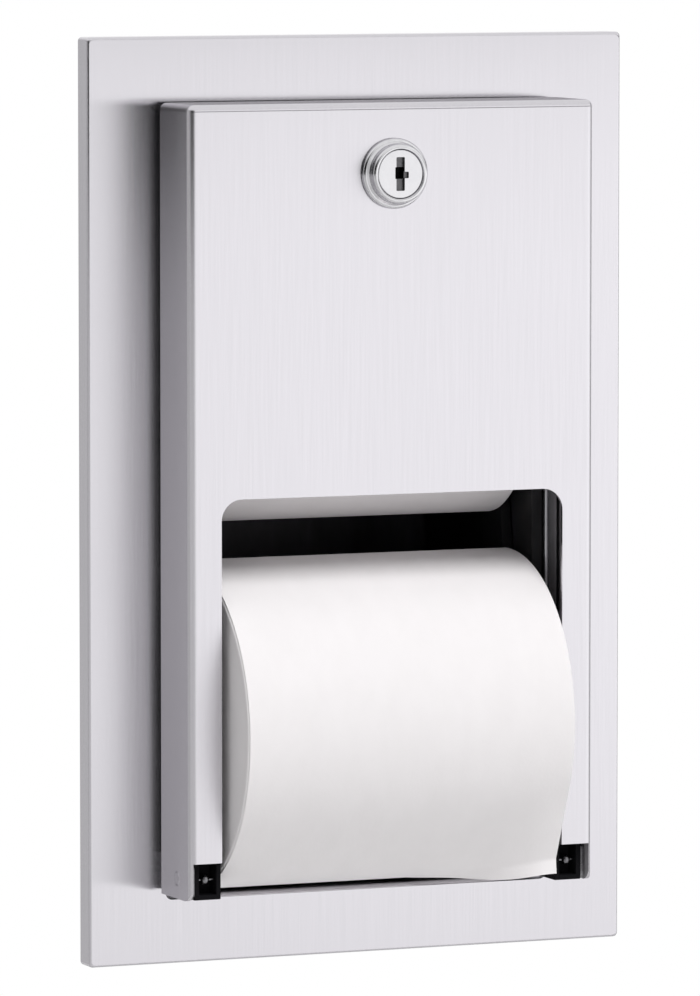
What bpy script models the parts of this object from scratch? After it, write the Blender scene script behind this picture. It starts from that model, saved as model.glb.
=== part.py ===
# Recessed dispenser for two toilet rolls: folded steel face and cabinet, hinged door with a lock,
# two sprung spindles in slotted guides, and a pair of sprung cradle arms under the reserve roll.
# Metres, +Z up. X is to the right seen from the front, the front faces -Y, and the origin is on
# the cabinet's outer back face, level with the middle of the wall flange.
import math

import bmesh
import bpy
from mathutils import Matrix, Vector

# Sheet metal and general fits
SHEET = 0.0009              # flange, cabinet
DOOR_SHEET = 0.0012
SEAT_GAP = 0.0003           # between pieces that rest on each other
RUN_GAP = 0.00006           # round a turning shaft, on the radius
CUT_OVERRUN = 0.002         # how far a cutter passes the faces it cuts
WELD = 0.00001              # points closer than this are one point
ROUND_STEPS = 28            # faces round a large turned piece
SMALL_STEPS = 14            # faces round a pin, rivet or screw
CORNER_STEPS = 6            # faces round a moulded or cut-out corner
BEND_STEPS = 4              # faces round a folded edge
COIL_STEPS = 8              # stretches in one turn of a spring
SMOOTH_DEG = 30             # faces that meet at less than this are shaded smooth

# Rolls: their size sets the width, height and depth of everything round them
ROLL_WIDTH = 0.1143
ROLL_RADIUS = 0.0530
LOWER_ROLL_HEIGHT = -0.0732
LOWER_ROLL_BEHIND = 0.0070  # roll centre behind the flange face
UPPER_ROLL_BEHIND = 0.0285
RESERVE_LIFT = 0.0142       # bottom of the reserve roll above the top of the lower one
CORE_OUTER_RADIUS = 0.0218
CORE_WALL = 0.0014
PAPER_GAP = 0.0003          # paper to core
TAIL_LIFT = 0.0012          # how far the loose end stands off the roll
TAIL_LENGTH_SHARE = 0.11    # of the roll's circumference
TAIL_RISE_SHARES = ((0.3, 0.18), (0.65, 0.55), (1, 1))  # along the tail, of its lift
LOWER_TAIL_DEG = 250
UPPER_TAIL_DEG = 70

# Clear room round the rolls
ROLL_SIDE_GAP = 0.00405     # roll to guide
ROLL_BOTTOM_GAP = 0.0017    # lower roll to the bottom of the neck
ROLL_TOP_GAP = 0.0245       # reserve roll to the top of the neck
ROLL_FRONT_GAP = 0.0041     # reserve roll to the inside of the door
CRADLE_SHAFT_GAP = 0.0075   # reserve roll to the middle of the cradle shaft
SHAFT_BACK_GAP = 0.0090     # middle of the cradle shaft to the cabinet's outer back

# Wall flange
FLANGE_SIDE_BORDER = 0.0290   # edge of the flange to the clear hole
FLANGE_TOP_BORDER = 0.0255
FLANGE_BOTTOM_BORDER = 0.0221
FLANGE_RETURN = 0.008       # depth of the edge that turns back to the wall
FLANGE_BEND = 0.0022        # outer radius of its folded edge
HOLE_CORNER = 0.0014
NECK_BEND = 0.0024          # outer radius where the face turns back into the neck
NECK_DEPTH = 0.0120         # how far the neck reaches behind the face

# Cabinet
CABINET_LIP = 0.007         # turned-out lip behind the flange
CABINET_BACK_BEND = 0.0030
CABINET_CORNER = 0.0042     # outer radius of its long edges

# Door
DOOR_SIDE_LAP = 0.0058      # door's outer side past the clear hole
DOOR_TOP_LAP = 0.0045
DOOR_BOTTOM_RISE = 0.0016   # door's bottom above the bottom of the hole
DOOR_REAR_GAP = 0.0010      # door's rear edge to flange face
DOOR_BEND = 0.0024
DOOR_OPEN_CLEARANCE = 0.0012  # between the swinging lower corner and the flange
OPENING_SIDE_GAP = 0.00265  # roll's end to the side of the opening
OPENING_ABOVE_RESERVE = 0.0088  # top of the opening above the bottom of the reserve roll
OPENING_CORNER = 0.0070
LEG_SHORT = 0.0123          # the front legs end this far above the door's bottom

# Hinge
DOOR_TOE_RADIUS = 0.0050    # side walls' lower front corners
HINGE_RISE = 0.0065         # pin above the door's bottom edge
HINGE_BEHIND_FRONT = 0.0118  # pin behind the door's front
HINGE_PIN_RADIUS = 0.0022
HINGE_HEAD_RADIUS = 0.0032
HINGE_HEAD_LENGTH = 0.0020
HINGE_HEAD_SHARES = ((1, 0.7), (0.6, 1), (0, 1))  # of the head's length, of its radius
BRACKET_SHEET = 0.0012
BRACKET_HEIGHT = 0.0120
BRACKET_PAST_NECK = 0.0005
BRACKET_JOG_START = 0.0030  # in front of the face
BRACKET_JOG_LENGTH = 0.0040
BRACKET_NOSE = 0.0085       # ear past the pin
BRACKET_NOSE_ROUND_SHARE = 0.25  # of the nose, on its two corners
BRACKET_LIFT = 0.0018       # bracket above the bottom of the neck

# Spindles
SPINDLE_PLAY = 0.0018       # spindle in the core, on the radius
SPINDLE_WALL = 0.0020
SPINDLE_END_PROUD = 0.00055  # barrel of the spindle past the roll's end
SPINDLE_GAP = 0.0003        # plunger in sleeve
SPINDLE_PIN_RADIUS = 0.0040
SPINDLE_PIN_END_GAP = 0.0004
SPINDLE_CHAMFER = 0.0012
SLEEVE_OVERLAP = 0.0150     # sleeve and plunger each pass the middle by this
PLUNGER_TRAVEL = 0.0050
PLUNGER_WALL = 0.0053
PLUNGER_BORE_DEPTH = 0.0200
SPRING_PLAY = 0.0019        # spring in the plunger's bore
SPRING_WIRE = 0.0006
SPRING_TURNS = 6

# Guides
GUIDE_THICKNESS = 0.0035
GUIDE_SLOT_CLEARANCE = 0.0005  # round the spindle pin, on the radius
GUIDE_EDGE = 0.0075         # material round the slot
GUIDE_BACK_GAP = 0.0040     # guide to the cabinet's inner back
GUIDE_HEAD = 0.0205         # guide above the middle of the slot's mouth
GUIDE_FOOT = 0.0243         # guide below the lower seat
MOUTH_ABOVE_RESERVE = 0.0170  # slot's mouth above the reserve seat, low enough to load a full roll
GUIDE_CORNER = 0.006
BOSS_RADIUS = 0.0050
BOSS_ROOT_SHARE = 0.33      # of the guide's thickness that a boss is rooted in
RIVET_RADIUS = 0.0018
RIVET_HEAD_RADIUS = 0.0034
RIVET_HEAD_LENGTH = 0.0013
RIVET_HEAD_SHARES = ((1, 0.55), (0.45, 0.9), (0, 1))  # of the head's length, of its radius
RIVET_TAIL_LENGTH = 0.0012
RIVET_TAIL_SHARES = ((0, 0.85), (0.6, 0.75), (1, 0.4))  # of the tail's length, of the head's radius

# Cradle arms under the reserve spindle
CRADLE_SHAFT_RADIUS = 0.0025
CRADLE_SHAFT_ABOVE = 0.0015  # shaft above the reserve spindle
CRADLE_ARM_SHEET = 0.0014
CRADLE_ARM_DEPTH = 0.0090   # height of the arm
CRADLE_HOOK_NOSE = 0.0080   # arm past the spindle pin
ARM_BACK_SHARES = ((1.6, 0.55),)  # behind the pin and above the seat, of the arm's depth
ARM_SEAT_SHARES = ((1.15, 0.35), (0.6, 0))  # of the pin's radius with its gap
ARM_NOSE_SHARES = ((0.25, 0), (0, -0.25), (0.15, -0.6))  # from the nose, of the arm's depth
ARM_BELLY_SHARES = ((0.6, -0.75),)
CRADLE_SPRING_TURNS = 5
CRADLE_SPRING_WIRE = 0.0006
CRADLE_SPRING_PITCH_SHARE = 2.6  # of the wire's radius
CLIP_THICKNESS = 0.0008
CLIP_RADIUS = 0.0048

# Lock
LOCK_DROP = 0.0228          # centre below the door's top
BEZEL_RADIUS = 0.0114
BEZEL_PROUD = 0.0060
BEZEL_RIM = 0.0012
BEZEL_SHOULDER_RADIUS = 0.0100
BEZEL_FACE_RADIUS = 0.0092
BARREL_RADIUS = 0.0090
BARREL_LENGTH = 0.0150      # behind the door's front face
BARREL_FLAT_SHARE = 0.88    # flats at this share of the radius
PLUG_RADIUS = 0.0078
PLUG_RECESS = 0.0005
PLUG_CHAMFER = 0.0004
KEYWAY_WIDTH = 0.0026
KEYWAY_HEIGHT = 0.0108
KEYWAY_DEPTH = 0.0060
KEYWAY_WARD = 0.0014        # side step of the keyway
NUT_HALF_FLATS = 0.0118
NUT_THICKNESS = 0.0025
CAM_THICKNESS = 0.0020
CAM_WIDTH = 0.0110
CAM_TOP_GAP = 0.0008        # locked cam to the keeper's strip
CAM_SCREW_RADIUS = 0.0038
CAM_SCREW_LENGTH = 0.0020
CAM_SCREW_SHARES = ((0, 1), (0.6, 0.95), (1, 0.6))  # of its length, of its radius
CAM_SLOT_DEPTH = 0.0010
CAM_SLOT_WIDTH = 0.0011
KEEPER_WIDTH = 0.0220
KEEPER_SHEET = 0.0012
KEEPER_LIP = 0.0062         # how far the lip hangs down
KEEPER_CAM_GAP = 0.0010     # lip to the locked cam
KEEPER_PAST_NECK = 0.0010

# Mounting screws through the cabinet's sides
SCREW_RADIUS = 0.0020
SCREW_LENGTH = 0.0160
SCREW_HEAD_RADIUS = 0.0040
SCREW_HEAD_LENGTH = 0.0022
SCREW_HEAD_SHARES = ((1, 0.5), (0.55, 0.85), (0, 1))  # of the head's length, of its radius
SCREW_TIP_LENGTH = 0.0040
SCREW_CROSS_REACH = 0.0022
SCREW_CROSS_WIDTH = 0.0010
SCREW_CROSS_DEPTH = 0.0012
SCREW_HOLE_CLEARANCE = 0.0004
SCREW_BEHIND = 0.0520
SCREW_TOP_INSET = 0.0140
SCREW_BOTTOM_INSET = 0.0120

# Depths that follow from the sizes above
CRADLE_SHAFT_BEHIND = UPPER_ROLL_BEHIND + ROLL_RADIUS + CRADLE_SHAFT_GAP
FACE_Y = -(CRADLE_SHAFT_BEHIND + SHAFT_BACK_GAP)
WALL_Y = FACE_Y + FLANGE_RETURN
DOOR_FRONT_Y = FACE_Y - (ROLL_RADIUS - UPPER_ROLL_BEHIND + ROLL_FRONT_GAP + DOOR_SHEET)
DOOR_REAR_Y = FACE_Y - DOOR_REAR_GAP
HINGE_Y = DOOR_FRONT_Y + HINGE_BEHIND_FRONT
CAM_FRONT_Y = DOOR_FRONT_Y + BARREL_LENGTH + SEAT_GAP
KEEPER_BACK_Y = FACE_Y + NECK_DEPTH + KEEPER_PAST_NECK
BRACKET_BACK_Y = FACE_Y + NECK_DEPTH + BRACKET_PAST_NECK

# Half widths
ROLL_HALF = ROLL_WIDTH / 2
GUIDE_INNER = ROLL_HALF + ROLL_SIDE_GAP
GUIDE_OUTER = GUIDE_INNER + GUIDE_THICKNESS
HOLE_HALF = GUIDE_OUTER + SEAT_GAP
CABINET_INNER = HOLE_HALF + SHEET + SEAT_GAP
CABINET_OUTER = CABINET_INNER + SHEET
FLANGE_HALF = HOLE_HALF + FLANGE_SIDE_BORDER
DOOR_HALF = HOLE_HALF + DOOR_SIDE_LAP
DOOR_INNER = DOOR_HALF - DOOR_SHEET
OPENING_HALF = ROLL_HALF + OPENING_SIDE_GAP
SPINDLE_HALF = ROLL_HALF + SPINDLE_END_PROUD
PIN_TIP = GUIDE_OUTER - SPINDLE_PIN_END_GAP

# Heights
UPPER_ROLL_HEIGHT = LOWER_ROLL_HEIGHT + 2 * ROLL_RADIUS + RESERVE_LIFT
HOLE_TOP = UPPER_ROLL_HEIGHT + ROLL_RADIUS + ROLL_TOP_GAP
HOLE_BOTTOM = LOWER_ROLL_HEIGHT - ROLL_RADIUS - ROLL_BOTTOM_GAP
CABINET_TOP = HOLE_TOP + SHEET + SEAT_GAP
CABINET_BOTTOM = HOLE_BOTTOM - SHEET - SEAT_GAP
FLANGE_TOP = HOLE_TOP + FLANGE_TOP_BORDER
FLANGE_BOTTOM = HOLE_BOTTOM - FLANGE_BOTTOM_BORDER
DOOR_TOP = HOLE_TOP + DOOR_TOP_LAP
DOOR_BOTTOM = HOLE_BOTTOM + DOOR_BOTTOM_RISE
LEG_BOTTOM = DOOR_BOTTOM + LEG_SHORT
OPENING_TOP = UPPER_ROLL_HEIGHT - ROLL_RADIUS + OPENING_ABOVE_RESERVE
HINGE_Z = DOOR_BOTTOM + HINGE_RISE
LOCK_Z = DOOR_TOP - LOCK_DROP
KEEPER_TOP = HOLE_TOP - SEAT_GAP
CAM_REACH = KEEPER_TOP - KEEPER_SHEET - CAM_TOP_GAP - LOCK_Z

# Spindles, their rolls and the shaft
SPINDLE_RADIUS = CORE_OUTER_RADIUS - CORE_WALL - SPINDLE_PLAY
SPINDLE_BORE = SPINDLE_RADIUS - SPINDLE_WALL
PLUNGER_RADIUS = SPINDLE_BORE - SPINDLE_GAP
PLUNGER_BORE = PLUNGER_RADIUS - PLUNGER_WALL
SPRING_RADIUS = PLUNGER_BORE - SPRING_PLAY - SPRING_WIRE
SLOT_RADIUS = SPINDLE_PIN_RADIUS + GUIDE_SLOT_CLEARANCE
ROLL_SAG = Vector((0, 0, SPINDLE_PLAY - SEAT_GAP))
LOWER_ROLL = Vector((0, FACE_Y + LOWER_ROLL_BEHIND, LOWER_ROLL_HEIGHT))
UPPER_ROLL = Vector((0, FACE_Y + UPPER_ROLL_BEHIND, UPPER_ROLL_HEIGHT))
LOWER_SPINDLE = LOWER_ROLL + ROLL_SAG
UPPER_SPINDLE = UPPER_ROLL + ROLL_SAG
MOUTH_HEIGHT = UPPER_SPINDLE.z + MOUTH_ABOVE_RESERVE
GUIDE_TOP = MOUTH_HEIGHT + GUIDE_HEAD
GUIDE_BOTTOM = LOWER_SPINDLE.z - GUIDE_FOOT
CRADLE_SHAFT = Vector((0, FACE_Y + CRADLE_SHAFT_BEHIND, UPPER_SPINDLE.z + CRADLE_SHAFT_ABOVE))

SIDES = ((-1, "left"), (1, "right"))


# Materials
def make_material(name, colour, metallic, roughness):
    mat = bpy.data.materials.new(name)
    mat.use_nodes = True
    shader = mat.node_tree.nodes["Principled BSDF"]
    shader.inputs["Base Color"].default_value = (*colour, 1)
    shader.inputs["Metallic"].default_value = metallic
    shader.inputs["Roughness"].default_value = roughness
    mat.diffuse_color = (*colour, 1)
    return mat


# Outlines, as lists of flat points
def arc(centre, radius, start_deg, end_deg, steps):
    points = []
    for i in range(steps + 1):
        angle = math.radians(start_deg + (end_deg - start_deg) * i / steps)
        points.append((centre[0] + radius * math.cos(angle), centre[1] + radius * math.sin(angle)))
    return points


def rounded_rect(left, right, bottom, top, radius, steps=BEND_STEPS):
    radius = min(radius, (right - left) / 2 - WELD, (top - bottom) / 2 - WELD)
    corners = [((right - radius, top - radius), 0), ((left + radius, top - radius), 90),
               ((left + radius, bottom + radius), 180), ((right - radius, bottom + radius), 270)]
    points = []
    for centre, start in corners:
        points += arc(centre, radius, start, start + 90, steps)
    return points


def capsule(start, end, radius, steps=CORNER_STEPS):
    # outline round a straight run with round ends
    way = math.degrees(math.atan2(end[1] - start[1], end[0] - start[0]))
    return arc(start, radius, way + 90, way + 270, steps) + arc(end, radius, way - 90, way + 90, steps)


def shaped(shares, length, radius, start=0):
    # points of a turned head or tail, from shares of its length and radius
    return [(start + length * along, radius * out) for along, out in shares]


# Solids, as bmesh
def loft(loops, closed_round):
    # skins a row of equal loops, and either joins the last to the first or caps both ends
    bm = bmesh.new()
    rings = [[bm.verts.new(p) for p in loop] for loop in loops]
    pairs = list(zip(rings, rings[1:]))
    if closed_round:
        pairs.append((rings[-1], rings[0]))
    for first, second in pairs:
        count = len(first)
        for i in range(count):
            j = (i + 1) % count
            bm.faces.new((first[i], first[j], second[j], second[i]))
    if not closed_round:
        bm.faces.new(rings[0])
        bm.faces.new(rings[-1])
    bmesh.ops.recalc_face_normals(bm, faces=bm.faces)
    return bm


def extruded(outline, axis, start, end):
    # a flat outline pushed along one axis; the outline's two numbers are the other axes in order
    bm = bmesh.new()
    place = {"X": lambda u, v: (start, u, v), "Y": lambda u, v: (u, start, v),
             "Z": lambda u, v: (u, v, start)}[axis]
    way = {"X": Vector((1, 0, 0)), "Y": Vector((0, 1, 0)), "Z": Vector((0, 0, 1))}[axis]
    face = bm.faces.new([bm.verts.new(place(u, v)) for u, v in outline])
    pushed = bmesh.ops.extrude_face_region(bm, geom=[face])["geom"]
    moved = [v for v in pushed if isinstance(v, bmesh.types.BMVert)]
    bmesh.ops.translate(bm, verts=moved, vec=way * (end - start))
    bmesh.ops.recalc_face_normals(bm, faces=bm.faces)
    return bm


def box(left, right, near, far, low, high):
    outline = [(left, low), (right, low), (right, high), (left, high)]
    return extruded(outline, "Y", near, far)


def turned(profile, axis, steps=ROUND_STEPS):
    # spins (along, radius) points a full turn about the X or Y axis
    bm = bmesh.new()
    if axis == "X":
        verts = [bm.verts.new((along, 0, radius)) for along, radius in profile]
        way = Vector((1, 0, 0))
    else:
        verts = [bm.verts.new((0, along, radius)) for along, radius in profile]
        way = Vector((0, 1, 0))
    edges = [bm.edges.new(pair) for pair in zip(verts, verts[1:])]
    if profile[0][1] > 0:
        edges.append(bm.edges.new((verts[-1], verts[0])))
    bmesh.ops.spin(bm, geom=verts + edges, cent=(0, 0, 0), axis=way, angle=math.tau,
                   steps=steps, use_merge=True)
    bmesh.ops.remove_doubles(bm, verts=bm.verts, dist=WELD)
    bmesh.ops.recalc_face_normals(bm, faces=bm.faces)
    return bm


def rod(radius, start, end, axis, steps=SMALL_STEPS):
    return turned([(start, 0), (start, radius), (end, radius), (end, 0)], axis, steps)


def turn_round(bm, degrees, axis):
    turning = Matrix.Rotation(math.radians(degrees), 3, axis)
    bmesh.ops.rotate(bm, verts=bm.verts, cent=(0, 0, 0), matrix=turning)
    return bm


def to_side(bm, side):
    # a piece made pointing right is turned to point left
    return turn_round(bm, 180, "Z") if side < 0 else bm


def side_plate(outline, inner, outer, side):
    # an outline in (y, z) as a plate between two distances from the middle
    low, high = sorted((side * inner, side * outer))
    return extruded(outline, "X", low, high)


def helix_points(radius, start, end, turns):
    total = turns * COIL_STEPS
    points = []
    for i in range(total + 1):
        angle = math.tau * i / COIL_STEPS
        along = start + (end - start) * i / total
        points.append(Vector((along, radius * math.cos(angle), radius * math.sin(angle))))
    return points


def bevel_edges(bm, chosen, radius):
    edges = [e for e in bm.edges if chosen(e)]
    bmesh.ops.bevel(bm, geom=edges, offset=radius, segments=BEND_STEPS, profile=0.5, affect="EDGES")
    return bm


# Objects
def body_pivot(name, place):
    pivot = bpy.data.objects.new(name, None)
    pivot.location = place
    bpy.context.collection.objects.link(pivot)
    return pivot


def place_object(obj, place, pivot):
    # place is in the part's frame, and a pivot that carries the piece keeps it there
    obj.location = Vector(place)
    if pivot is not None:
        obj.parent = pivot
        obj.location = Vector(place) - pivot.location
    bpy.context.collection.objects.link(obj)
    return obj


def add_piece(name, bm, mat, place=(0, 0, 0), pivot=None):
    mesh = bpy.data.meshes.new(name)
    bm.to_mesh(mesh)
    bm.free()
    mesh.materials.append(mat)
    mesh.shade_smooth()
    mesh.set_sharp_from_angle(angle=math.radians(SMOOTH_DEG))
    return place_object(bpy.data.objects.new(name, mesh), place, pivot)


def add_wire(name, points, wire_radius, mat, place, pivot=None):
    curve = bpy.data.curves.new(name, "CURVE")
    curve.dimensions = "3D"
    curve.bevel_depth = wire_radius
    curve.bevel_resolution = 1
    curve.use_fill_caps = True
    spline = curve.splines.new("POLY")
    spline.points.add(len(points) - 1)
    for target, point in zip(spline.points, points):
        target.co = (*point, 1)
    curve.materials.append(mat)
    return place_object(bpy.data.objects.new(name, curve), place, pivot)


def combine(obj, name, bm, place=(0, 0, 0), operation="DIFFERENCE"):
    # a hidden shape, placed in the part's frame and carried with the piece that it cuts or joins
    mesh = bpy.data.meshes.new(name)
    bm.to_mesh(mesh)
    bm.free()
    tool = place_object(bpy.data.objects.new(name, mesh), place, obj.parent)
    tool.hide_render = True
    tool.display_type = "WIRE"
    modifier = obj.modifiers.new(name, "BOOLEAN")
    modifier.operation = operation
    modifier.solver = "EXACT"
    modifier.object = tool


# Wall flange and cabinet
def upright_loop(half, top, bottom, radius, y):
    return [(u, y, v) for u, v in rounded_rect(-half, half, bottom, top, radius)]


def build_flange(steel):
    loops = []

    def edge_loop(inset, y):
        loops.append(upright_loop(FLANGE_HALF - inset, FLANGE_TOP - inset, FLANGE_BOTTOM + inset,
                                  FLANGE_BEND - inset / 2, y))

    def neck_loop(outset, y):
        loops.append(upright_loop(HOLE_HALF + outset, HOLE_TOP + outset, HOLE_BOTTOM - outset,
                                  HOLE_CORNER + outset, y))

    # outer skin: up the return, round the fold, across the face, and back into the neck
    edge_loop(0, WALL_Y)
    for across, back in arc((FLANGE_BEND, FLANGE_BEND), FLANGE_BEND, 180, 270, BEND_STEPS):
        edge_loop(across, FACE_Y + back)
    for across, back in arc((NECK_BEND, NECK_BEND), NECK_BEND, 270, 180, BEND_STEPS):
        neck_loop(across, FACE_Y + back)
    neck_loop(0, FACE_Y + NECK_DEPTH)
    # inner skin: the same way back, one sheet behind
    neck_loop(SHEET, FACE_Y + NECK_DEPTH)
    for across, back in arc((NECK_BEND, NECK_BEND), NECK_BEND - SHEET, 180, 270, BEND_STEPS):
        neck_loop(across, FACE_Y + back)
    for across, back in arc((FLANGE_BEND, FLANGE_BEND), FLANGE_BEND - SHEET, 270, 180, BEND_STEPS):
        edge_loop(across, FACE_Y + back)
    edge_loop(SHEET, WALL_Y)
    return add_piece("face_flange", loft(loops, True), steel)


def build_cabinet(steel):
    lip_front = FACE_Y + SHEET + SEAT_GAP
    bend = CABINET_BACK_BEND
    loops = []

    def ring(outset, y):
        loops.append(upright_loop(CABINET_INNER + outset, CABINET_TOP + outset, CABINET_BOTTOM - outset,
                                  CABINET_CORNER - SHEET + outset, y))

    # outer skin, from the back round the fold to the turned-out lip
    for across, back in arc((bend, -bend), bend, 90, 180, BEND_STEPS):
        ring(SHEET - across, back)
    ring(SHEET, lip_front + NECK_BEND + SHEET)
    ring(SHEET + NECK_BEND, lip_front + SHEET)
    ring(SHEET + CABINET_LIP, lip_front + SHEET)
    # inner skin, one sheet inside
    ring(SHEET + CABINET_LIP, lip_front)
    ring(NECK_BEND, lip_front)
    ring(0, lip_front + NECK_BEND)
    for across, back in arc((bend, -bend), bend - SHEET, 180, 90, BEND_STEPS):
        ring(SHEET - across, back)
    return add_piece("cabinet_shell", loft(loops, False), steel)


# Fasteners
def rivet_profile(grip):
    # domed head at minus, shank through the grip, upset tail at plus
    head = shaped(RIVET_HEAD_SHARES, -RIVET_HEAD_LENGTH, RIVET_HEAD_RADIUS)
    tail = shaped(RIVET_TAIL_SHARES, RIVET_TAIL_LENGTH, RIVET_HEAD_RADIUS, grip)
    return ([(-RIVET_HEAD_LENGTH, 0)] + head + [(0, RIVET_RADIUS), (grip, RIVET_RADIUS)] + tail
            + [(grip + RIVET_TAIL_LENGTH, 0)])


def rivet_hole(grip):
    return rod(RIVET_RADIUS + SEAT_GAP, -CUT_OVERRUN, grip + CUT_OVERRUN, "X")


def add_side_rivet(name, side, inner_x, y, z, holed, steel):
    # from a face at inner_x out through the cabinet's side; every piece in holed gets its hole
    grip = CABINET_OUTER - inner_x
    rivet = turned(rivet_profile(grip + 2 * SEAT_GAP), "X", SMALL_STEPS)
    add_piece(name, to_side(rivet, side), steel, (side * (inner_x - SEAT_GAP), y, z))
    for piece in holed:
        combine(piece, name + "_hole_" + piece.name, to_side(rivet_hole(grip), side),
                (side * inner_x, y, z))


def add_mounting_screw(name, side, z, cabinet, steel):
    place = (side * (CABINET_INNER - SEAT_GAP), FACE_Y + SCREW_BEHIND, z)
    profile = ([(-SCREW_HEAD_LENGTH, 0)] + shaped(SCREW_HEAD_SHARES, -SCREW_HEAD_LENGTH, SCREW_HEAD_RADIUS)
               + [(0, SCREW_RADIUS), (SCREW_LENGTH - SCREW_TIP_LENGTH, SCREW_RADIUS), (SCREW_LENGTH, 0)])
    screw = add_piece(name, to_side(turned(profile, "X", SMALL_STEPS), side), steel, place)
    for turn in (0, 90):
        bar = box(-SCREW_HEAD_LENGTH - CUT_OVERRUN, -SCREW_HEAD_LENGTH + SCREW_CROSS_DEPTH,
                  -SCREW_CROSS_REACH, SCREW_CROSS_REACH, -SCREW_CROSS_WIDTH / 2, SCREW_CROSS_WIDTH / 2)
        combine(screw, name + "_cross_" + str(turn), to_side(turn_round(bar, turn, "X"), side), place)
    hole = rod(SCREW_RADIUS + SCREW_HOLE_CLEARANCE, -CUT_OVERRUN, SHEET + CUT_OVERRUN, "X")
    combine(cabinet, name + "_hole", to_side(hole, side), (side * CABINET_INNER, *place[1:]))


# Guides
def slot_centres():
    # mouth at the front, level run back, then the bend down past the reserve seat to the lower seat
    front = FACE_Y + LOWER_ROLL_BEHIND - GUIDE_EDGE - SPINDLE_PIN_RADIUS - CUT_OVERRUN
    down = (LOWER_SPINDLE - UPPER_SPINDLE).normalized()
    knee = UPPER_SPINDLE - down * (MOUTH_ABOVE_RESERVE / abs(down.z))
    return [(front, MOUTH_HEIGHT), (knee.y, MOUTH_HEIGHT),
            (UPPER_SPINDLE.y, UPPER_SPINDLE.z), (LOWER_SPINDLE.y, LOWER_SPINDLE.z)]


def build_guide(side, label, cabinet, plastic, steel):
    name = label + "_guide"
    front = FACE_Y + LOWER_ROLL_BEHIND - GUIDE_EDGE - SPINDLE_PIN_RADIUS / 2
    back = -SHEET - GUIDE_BACK_GAP
    waist = UPPER_SPINDLE.y + SLOT_RADIUS + GUIDE_EDGE
    wing_low = CRADLE_SHAFT.z - BOSS_RADIUS - GUIDE_EDGE
    wing_top = GUIDE_TOP - GUIDE_EDGE
    # tall track in front, with one wing at the back for the cradle shaft
    track = rounded_rect(front, waist, GUIDE_BOTTOM, GUIDE_TOP, GUIDE_CORNER, CORNER_STEPS)
    wing = rounded_rect(waist - GUIDE_CORNER * 2, back, wing_low, wing_top, GUIDE_CORNER, CORNER_STEPS)
    guide = add_piece(name, side_plate(track, GUIDE_INNER, GUIDE_OUTER, side), plastic)
    combine(guide, name + "_wing", side_plate(wing, GUIDE_INNER, GUIDE_OUTER, side), operation="UNION")
    # bosses that stand the guide off to the cabinet's side
    rivets = [(waist - BOSS_RADIUS - RIVET_RADIUS / 2, GUIDE_BOTTOM + GUIDE_CORNER + BOSS_RADIUS),
              (waist - BOSS_RADIUS, GUIDE_TOP - GUIDE_CORNER - RIVET_RADIUS),
              (back - GUIDE_CORNER - BOSS_RADIUS, wing_top - GUIDE_CORNER - BOSS_RADIUS)]
    boss_root = GUIDE_OUTER - GUIDE_THICKNESS * BOSS_ROOT_SHARE
    for index, (y, z) in enumerate(rivets):
        boss = arc((y, z), BOSS_RADIUS, 0, 360 - 360 / SMALL_STEPS, SMALL_STEPS - 1)
        plate = side_plate(boss, boss_root, CABINET_INNER - SEAT_GAP, side)
        combine(guide, name + "_boss_" + str(index + 1), plate, operation="UNION")
    # the slot, run by run, and the running hole for the cradle shaft
    points = slot_centres()
    for index, (start, end) in enumerate(zip(points, points[1:])):
        run = side_plate(capsule(start, end, SLOT_RADIUS), GUIDE_INNER - CUT_OVERRUN,
                         GUIDE_OUTER + SEAT_GAP / 2, side)
        combine(guide, name + "_slot_" + str(index + 1), run)
    hole = rod(CRADLE_SHAFT_RADIUS + RUN_GAP, -GUIDE_THICKNESS, GUIDE_THICKNESS, "X")
    combine(guide, name + "_shaft_hole", hole,
            (side * (GUIDE_INNER + GUIDE_OUTER) / 2, CRADLE_SHAFT.y, CRADLE_SHAFT.z))
    for index, (y, z) in enumerate(rivets):
        add_side_rivet(name + "_rivet_" + str(index + 1), side, GUIDE_INNER, y, z, [guide, cabinet], steel)


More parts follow.
